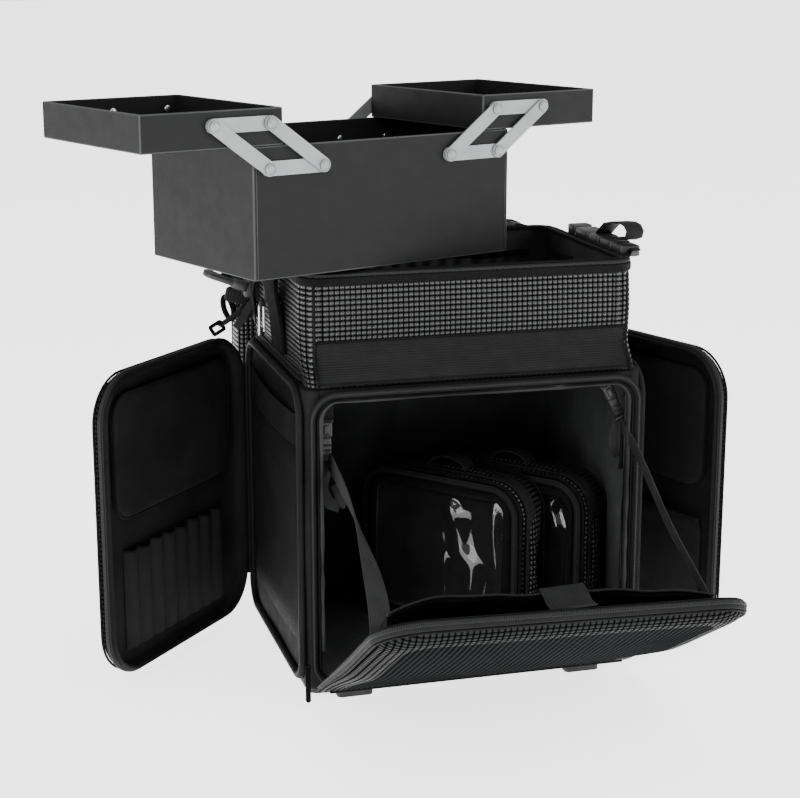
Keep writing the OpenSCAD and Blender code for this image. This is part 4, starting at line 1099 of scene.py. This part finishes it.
def open_box(name, x0, y0, z0, w, d, h, t, floor, body, nodes):
    """A covered board box with light cut edges."""
    cx, cy = x0 + w / 2, y0 + d / 2
    place = plane((cx, cy, 0), X, Y)

    def lp(inset, z, r):
        return [place(x, y, z) for x, y, _, _ in rr(w - 2 * inset, d - 2 * inset, r, 3, 6)]
    loops = [lp(min(w, d) / 2 - 1, z0 + 0.2, 0.3), lp(1.2, z0, 0.6), lp(0.2, z0 + 0.4, 1.2), lp(0, z0 + 1.4, 1.4),
             lp(0, z0 + h - 1.2, 1.4), lp(0.3, z0 + h - 0.3, 1.2), lp(1.2, z0 + h, 0.9), lp(t - 1.0, z0 + h, 0.6),
             lp(t - 0.2, z0 + h - 0.4, 0.5), lp(t, z0 + h - 1.4, 0.4), lp(t, z0 + floor + 1, 0.4),
             lp(t + 1, z0 + floor, 0.4), lp(min(w, d) / 2 - 1, z0 + floor, 0.3)]
    mats = [0, 0, 2, 0, 2, 2, 2, 2, 1, 1, 1, 1]
    v, f, uv, ids = rings(loops, mats=mats)
    n = len(loops[0])
    for k in range(len(ids)):
        row, i = divmod(k, n)
        if row == 3 and k < n * (len(loops) - 1):
            p, q = loops[3][i], loops[3][(i + 1) % n]
            if (p - q).length < 1.6:
                ids[k] = 2
    part = Part()
    part.add((v, f, uv, ids))
    return part.build(name, [TRAY, TRAY_IN, TRAY_EDGE], body, at=BOX, box_uv=True, smooth=False, replaces=nodes)


open_box("tray_box_covered", 0, 0, 0, 310, 195, 127, 4, 4, "tray_box", ("box_shell",))
open_box("tray_left_covered", -118, 0, 127.3, 152, 195, 35.5, 4, 3, "left_tray", ("tray_left",))
open_box("tray_right_covered", 276, 0, 127.3, 152, 195, 35.5, 4, 3, "right_tray", ("tray_right",))


seam = Part()
for x, y, nx, ny in ((3.6, 0, 0, -1), (306.4, 0, 0, -1)):
    line = [Vector((x, y, z)) for z in (1.5, 64, 126)]
    seam.add(sweep(line_frames(line, Vector((nx, ny, 0))), slab(0.9, 0.7, 0.3, a0=-0.45, b0=-0.3), closed=False))
seam.build("tray_box_seams", TRAY_EDGE, "tray_box", at=BOX)


def rivets(name, spots, body, mat=None, r=4.2):
    """Low domes; a spot is a centre and the way that it faces."""
    part = Part()
    for c, n in spots:
        n = Vector(n)
        a = n.orthogonal().normalized()
        b = n.cross(a)
        loops = []
        for k in range(6):
            t = k / 5 * math.pi / 2
            loops.append([Vector(c) + (a * math.cos(i * math.tau / 14) + b * math.sin(i * math.tau / 14)) * r * math.cos(t)
                          + n * (0.2 + 1.5 * math.sin(t)) for i in range(14)])
        part.add(rings(loops[:-1], poles=(True, True)))
    part.build(name, mat or RIVET, body, at=BOX, box_uv=True)


low, high = 106.0, 148.8
spots = []
for x in (16, 78, 294, 232):
    spots += [((x, 4.0, low), (0, 1, 0)), ((x, 191.0, low), (0, -1, 0))]
rivets("tray_box_rivets", spots, "tray_box")
rivets("tray_left_rivets", [((x, y, high), (0, s, 0)) for x in (-43, 19) for y, s in ((4.0, 1), (191.0, -1))], "left_tray")
rivets("tray_right_rivets", [((x, y, high), (0, s, 0)) for x in (353, 291) for y, s in ((4.0, 1), (191.0, -1))], "right_tray")


# ---------------------------------------------------------------- pouches

PL, PH, PT = 205.0, 180.0, 55.0


def film_dent(x, h, half_w, half_h, seed):
    """Folds of the clear window: long wavering ones toward its front end, faint ones elsewhere."""
    edge = min(1.0, 5.0 * (1 - abs(x) / half_w)) * min(1.0, 5.0 * (1 - abs(h) / half_h))
    t = max(0.0, min(1.0, (x + 12) / 30))
    strong = t * t * (3 - 2 * t)
    where = Vector((x * 0.022, h * 0.017, seed * 1.7))
    phase = (x + 0.22 * h) * 0.15 + 3.4 * noise.noise(where)
    fold = 2.9 * strong * math.sin(phase) + (1.6 + 2.6 * strong) * noise.noise(Vector((x * 0.035, h * 0.03, seed + 5.0)))
    return edge * (fold + 1.2) + 1.2 * (1 - edge)


def pouch(name, x, y, seed, node):
    at = at_pouch(x, y)
    place = plane((0, PT / 2, PH / 2), X, Z)                # depth = -Y: 0 at the back, PT at the window
    rows = [(10, 1.0, k) for k in (0.02, 0.35, 0.7, 1)] + [(3, 1.6, 1), (0.8, 4, 1)]
    rows += [(-2.0 * math.sin(math.pi * t), 4 + (PT - 10) * t, 1) for t in (0.12, 0.25, 0.4, 0.55, 0.7, 0.85)]
    rows += [(0.8, PT - 5, 1), (2.5, PT - 2, 1), (5, PT - 0.6, 1), (10, PT - 0.4, 1), (15, PT - 0.8, 1), (17.4, PT - 2, 1),
             (18, PT - 5, 1), (20, 8, 1), (24, 5.5, 1)]
    rows += [(24, 5, k) for k in (0.7, 0.35, 0.03)]
    part = Part()
    part.add(shell_rings(PL, PH, 36, rows, place, nc=10, ns=10, mats=[0] * 5 + [1] * 7 + [0] * 6 + [2] * (len(rows) - 19)))
    ob = part.build(name + "_bag", [NYLON, EMBOSSED, LIT_LINING], name, at=at, replaces=(node,))
    soften(ob, seed)
    ruffle(ob, 2.0, 16, seed)
    z = Part()

    def ring(inset, section, mat):
        z.add(sweep(loop_frames(rr(PL - 2 * inset, PH - 2 * inset, 36 - inset, 12, 10), place), section), mat)
    ring(1.5, slab(7, 1.3, 0.5, a0=-7.5, b0=PT - 1.2), 0)
    ring(4.0, slab(3.2, 2.2, 1.0, a0=-3.2, b0=PT - 0.2), 1)
    ring(0, slab(3.0, 3.0, 1.4, a0=-1.0, b0=PT - 4.6), 2)
    ring(0, slab(3.0, 3.0, 1.4, a0=-1.0, b0=1.4), 2)
    ring(12, slab(4.5, 1.6, 0.7, a0=-4, b0=PT - 1.2), 2)
    ring(0, slab(1.7, 18, 0.6, a0=0.9, b0=24), 3)
    arch = [(24 * math.cos(a), PH + 1 + 15 * math.sin(a), a) for a in (math.pi * i / 18 for i in range(19))]
    z.add(sweep([(Vector((px, 0, pz)), Vector((math.cos(a), 0, math.sin(a))), Y) for px, pz, a in arch],
                slab(2.2, 20, 0.8, a0=-1.8, b0=-10), closed=False), 3)
    z.build(name + "_trim", [TAPE, ZIP, BINDING, WEBBING], name, at=at)
    film = Part()
    half_w, half_h = PL / 2 - 17.5, PH / 2 - 17.5
    nx, nz = 72, 56
    verts = []
    for j in range(nz + 1):
        for i in range(nx + 1):
            x, h = half_w * (2 * i / nx - 1), half_h * (2 * j / nz - 1)
            verts.append(place(x, h, PT - 3.2 - film_dent(x, h, half_w, half_h, seed)))
    row = nx + 1
    quads = [[j * row + i, j * row + i + 1, (j + 1) * row + i + 1, (j + 1) * row + i] for j in range(nz) for i in range(nx)]
    film.add((verts, quads, [[(0, 0)] * 4 for _ in quads]))
    film.build(name + "_window", FILM, name, at=at, box_uv=True, replaces=(node + "_window",))


pouch("first_pouch", 11, -17, 11, "pouch_1")
pouch("second_pouch", 83, -14, 12, "pouch_2")

# ---------------------------------------------------------------- stay straps

def stay_buckle(part, x, z, lean_x):
    """A side-release buckle hanging from a short web, with glossy ribs."""
    y = -121.5
    up = Vector((-lean_x, 0, 1)).normalized()
    side = Vector((up.z, 0, -up.x))

    def at(dz, dy=0.0):
        return Vector((x, y + dy, z)) + up * dz
    band(part, [at(54), at(40), at(24)], 16, 1.6, -Y, 1)
    chunk(part, at(18), side, up, 13, 18, 7, 3)
    chunk(part, at(18, -4), side, up, 6, 10, 2, 1.5)
    chunk(part, at(27), side, up, 15, 4, 8, 1.8)
    chunk(part, at(-1), side, up, 11, 22, 6, 2.5)
    for k in (-8, -3, 2):
        chunk(part, at(k, -3.4), side, up, 10, 2.2, 2, 1)
    chunk(part, at(-14), side, up, 14, 5, 6, 2)


buckles = Part()
stay_buckle(buckles, -154, 258, 0.0)
stay_buckle(buckles, 158, 279, 0.5)
band(buckles, [Vector(q) for q in ((-153, -123, 244), (-157, -125, 230), (-160, -127, 215), (-153, -128, 200), (-143, -128, 196))], 15, 1.6,
     lambda i: Vector((0.5, -1, 0.2 * i)), 2)
band(buckles, [Vector(q) for q in ((-143, -128, 196), (-139, -127, 204), (-144, -125, 219))], 14, 1.6, lambda i: Vector((-0.6, -1, 0.3)), 2)
band(buckles, [Vector(q) for q in ((165, -122, 264), (165, -124, 246), (164, -126, 228), (163, -127, 212))], 9, 1.6, lambda i: Vector((0.5, -1, 0.2)), 2)
band(buckles, [Vector(q) for q in ((163, -122, 266), (156, -123, 252), (154, -125, 238), (159, -127, 226))], 8, 1.4, lambda i: Vector((-0.5, -1, 0.2)), 2)
buckles.build("stay_buckle_set", [PLASTIC, WEBBING, STRAP], "case", replaces=("stay_buckles",))


def stay(name, a, b, width, sag, flat, bow, **more):
    """A strap from the case to the drop panel that turns from edge-on to flat on its way down."""
    a, b = Vector(a), Vector(b)
    pts, ups = [], []
    for i in range(25):
        t = i / 24
        p = a.lerp(b, t)
        p.z -= sag * math.sin(math.pi * t)
        p.x += 3.0 * math.sin(2.2 * math.pi * t) * (1 - t) + bow * math.sin(math.pi * t ** 1.2)
        pts.append(p)
        k = flat * t * t * (3 - 2 * t)
        ups.append(X.lerp(Vector((0, -0.6, 0.8)), k))
    part = Part()
    part.add(sweep(line_frames(pts, lambda i: ups[i]), slab(width, 1.6, 0.6, a0=-width / 2), closed=False))
    ob = part.build(name, STRAP, None, **more)
    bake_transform(ob)


stay("stay_strap_left", (-152.5, -126, 245), (-158, -350, 139), 21, 6, 1.0, 12, replaces=("stay_straps",))
stay("stay_strap_right", (162, -126, 262), (167, -350, 138), 14, 4, 0.12, 0)

# ---------------------------------------------------------------- floor, lights, camera

def stage_plane(name, size, z, mat):
    me = bpy.data.meshes.new(name)
    me.from_pydata([(-size, -size, z), (size, -size, z), (size, size, z), (-size, size, z)], [], [(0, 1, 2, 3)])
    me.materials.append(mat)
    ob = bpy.data.objects.new(name, me)
    bpy.context.scene.collection.objects.link(ob)
    return ob


floor = Nodes("floor_white")
floor.set(Base_Color=(0.93, 0.93, 0.93, 1), Roughness=0.85, Emission_Color=(1, 1, 1, 1), Emission_Strength=2.4)
stage_plane("floor", 30, FLOOR_Z * MM, floor.mat)

world = bpy.data.worlds.new("studio")
bpy.context.scene.world = world
world.use_nodes = True
world.node_tree.nodes["Background"].inputs[0].default_value = (1, 1, 1, 1)
world.node_tree.nodes["Background"].inputs[1].default_value = 0.6


def area(name, at, look, size, power):
    d = bpy.data.lights.new(name, "AREA")
    d.shape = "RECTANGLE"
    d.size, d.size_y = size
    d.energy = power
    ob = bpy.data.objects.new(name, d)
    ob.location = at
    ob.rotation_euler = (Vector(look) - Vector(at)).to_track_quat("-Z", "Y").to_euler()
    bpy.context.scene.collection.objects.link(ob)


area("key_left", (-1.5, -2.0, 1.9), (0, 0, 0.3), (1.0, 1.0), 34)
area("low_left", (-2.2, -1.3, 0.42), (0, 0, 0.15), (1.5, 0.8), 22)
area("fill_right", (2.4, -1.6, 1.5), (0, 0, 0.25), (1.4, 1.8), 38)
area("top", (0.2, -0.2, 2.8), (0, 0, 0.2), (2.0, 2.0), 40)

cam = bpy.data.cameras.new("camera")
cam.sensor_width, cam.lens = 36, 81
cam.sensor_fit = "HORIZONTAL"
cam_ob = bpy.data.objects.new("camera", cam)
az, el = math.radians(15.63), math.radians(13.87)
cam_ob.location = Vector((-552.57, -1823.27, 738.51)) * MM
look = Vector((math.sin(az) * math.cos(el), math.cos(az) * math.cos(el), -math.sin(el)))
cam_ob.rotation_euler = look.to_track_quat("-Z", "Y").to_euler()
bpy.context.scene.collection.objects.link(cam_ob)
bpy.context.scene.camera = cam_ob
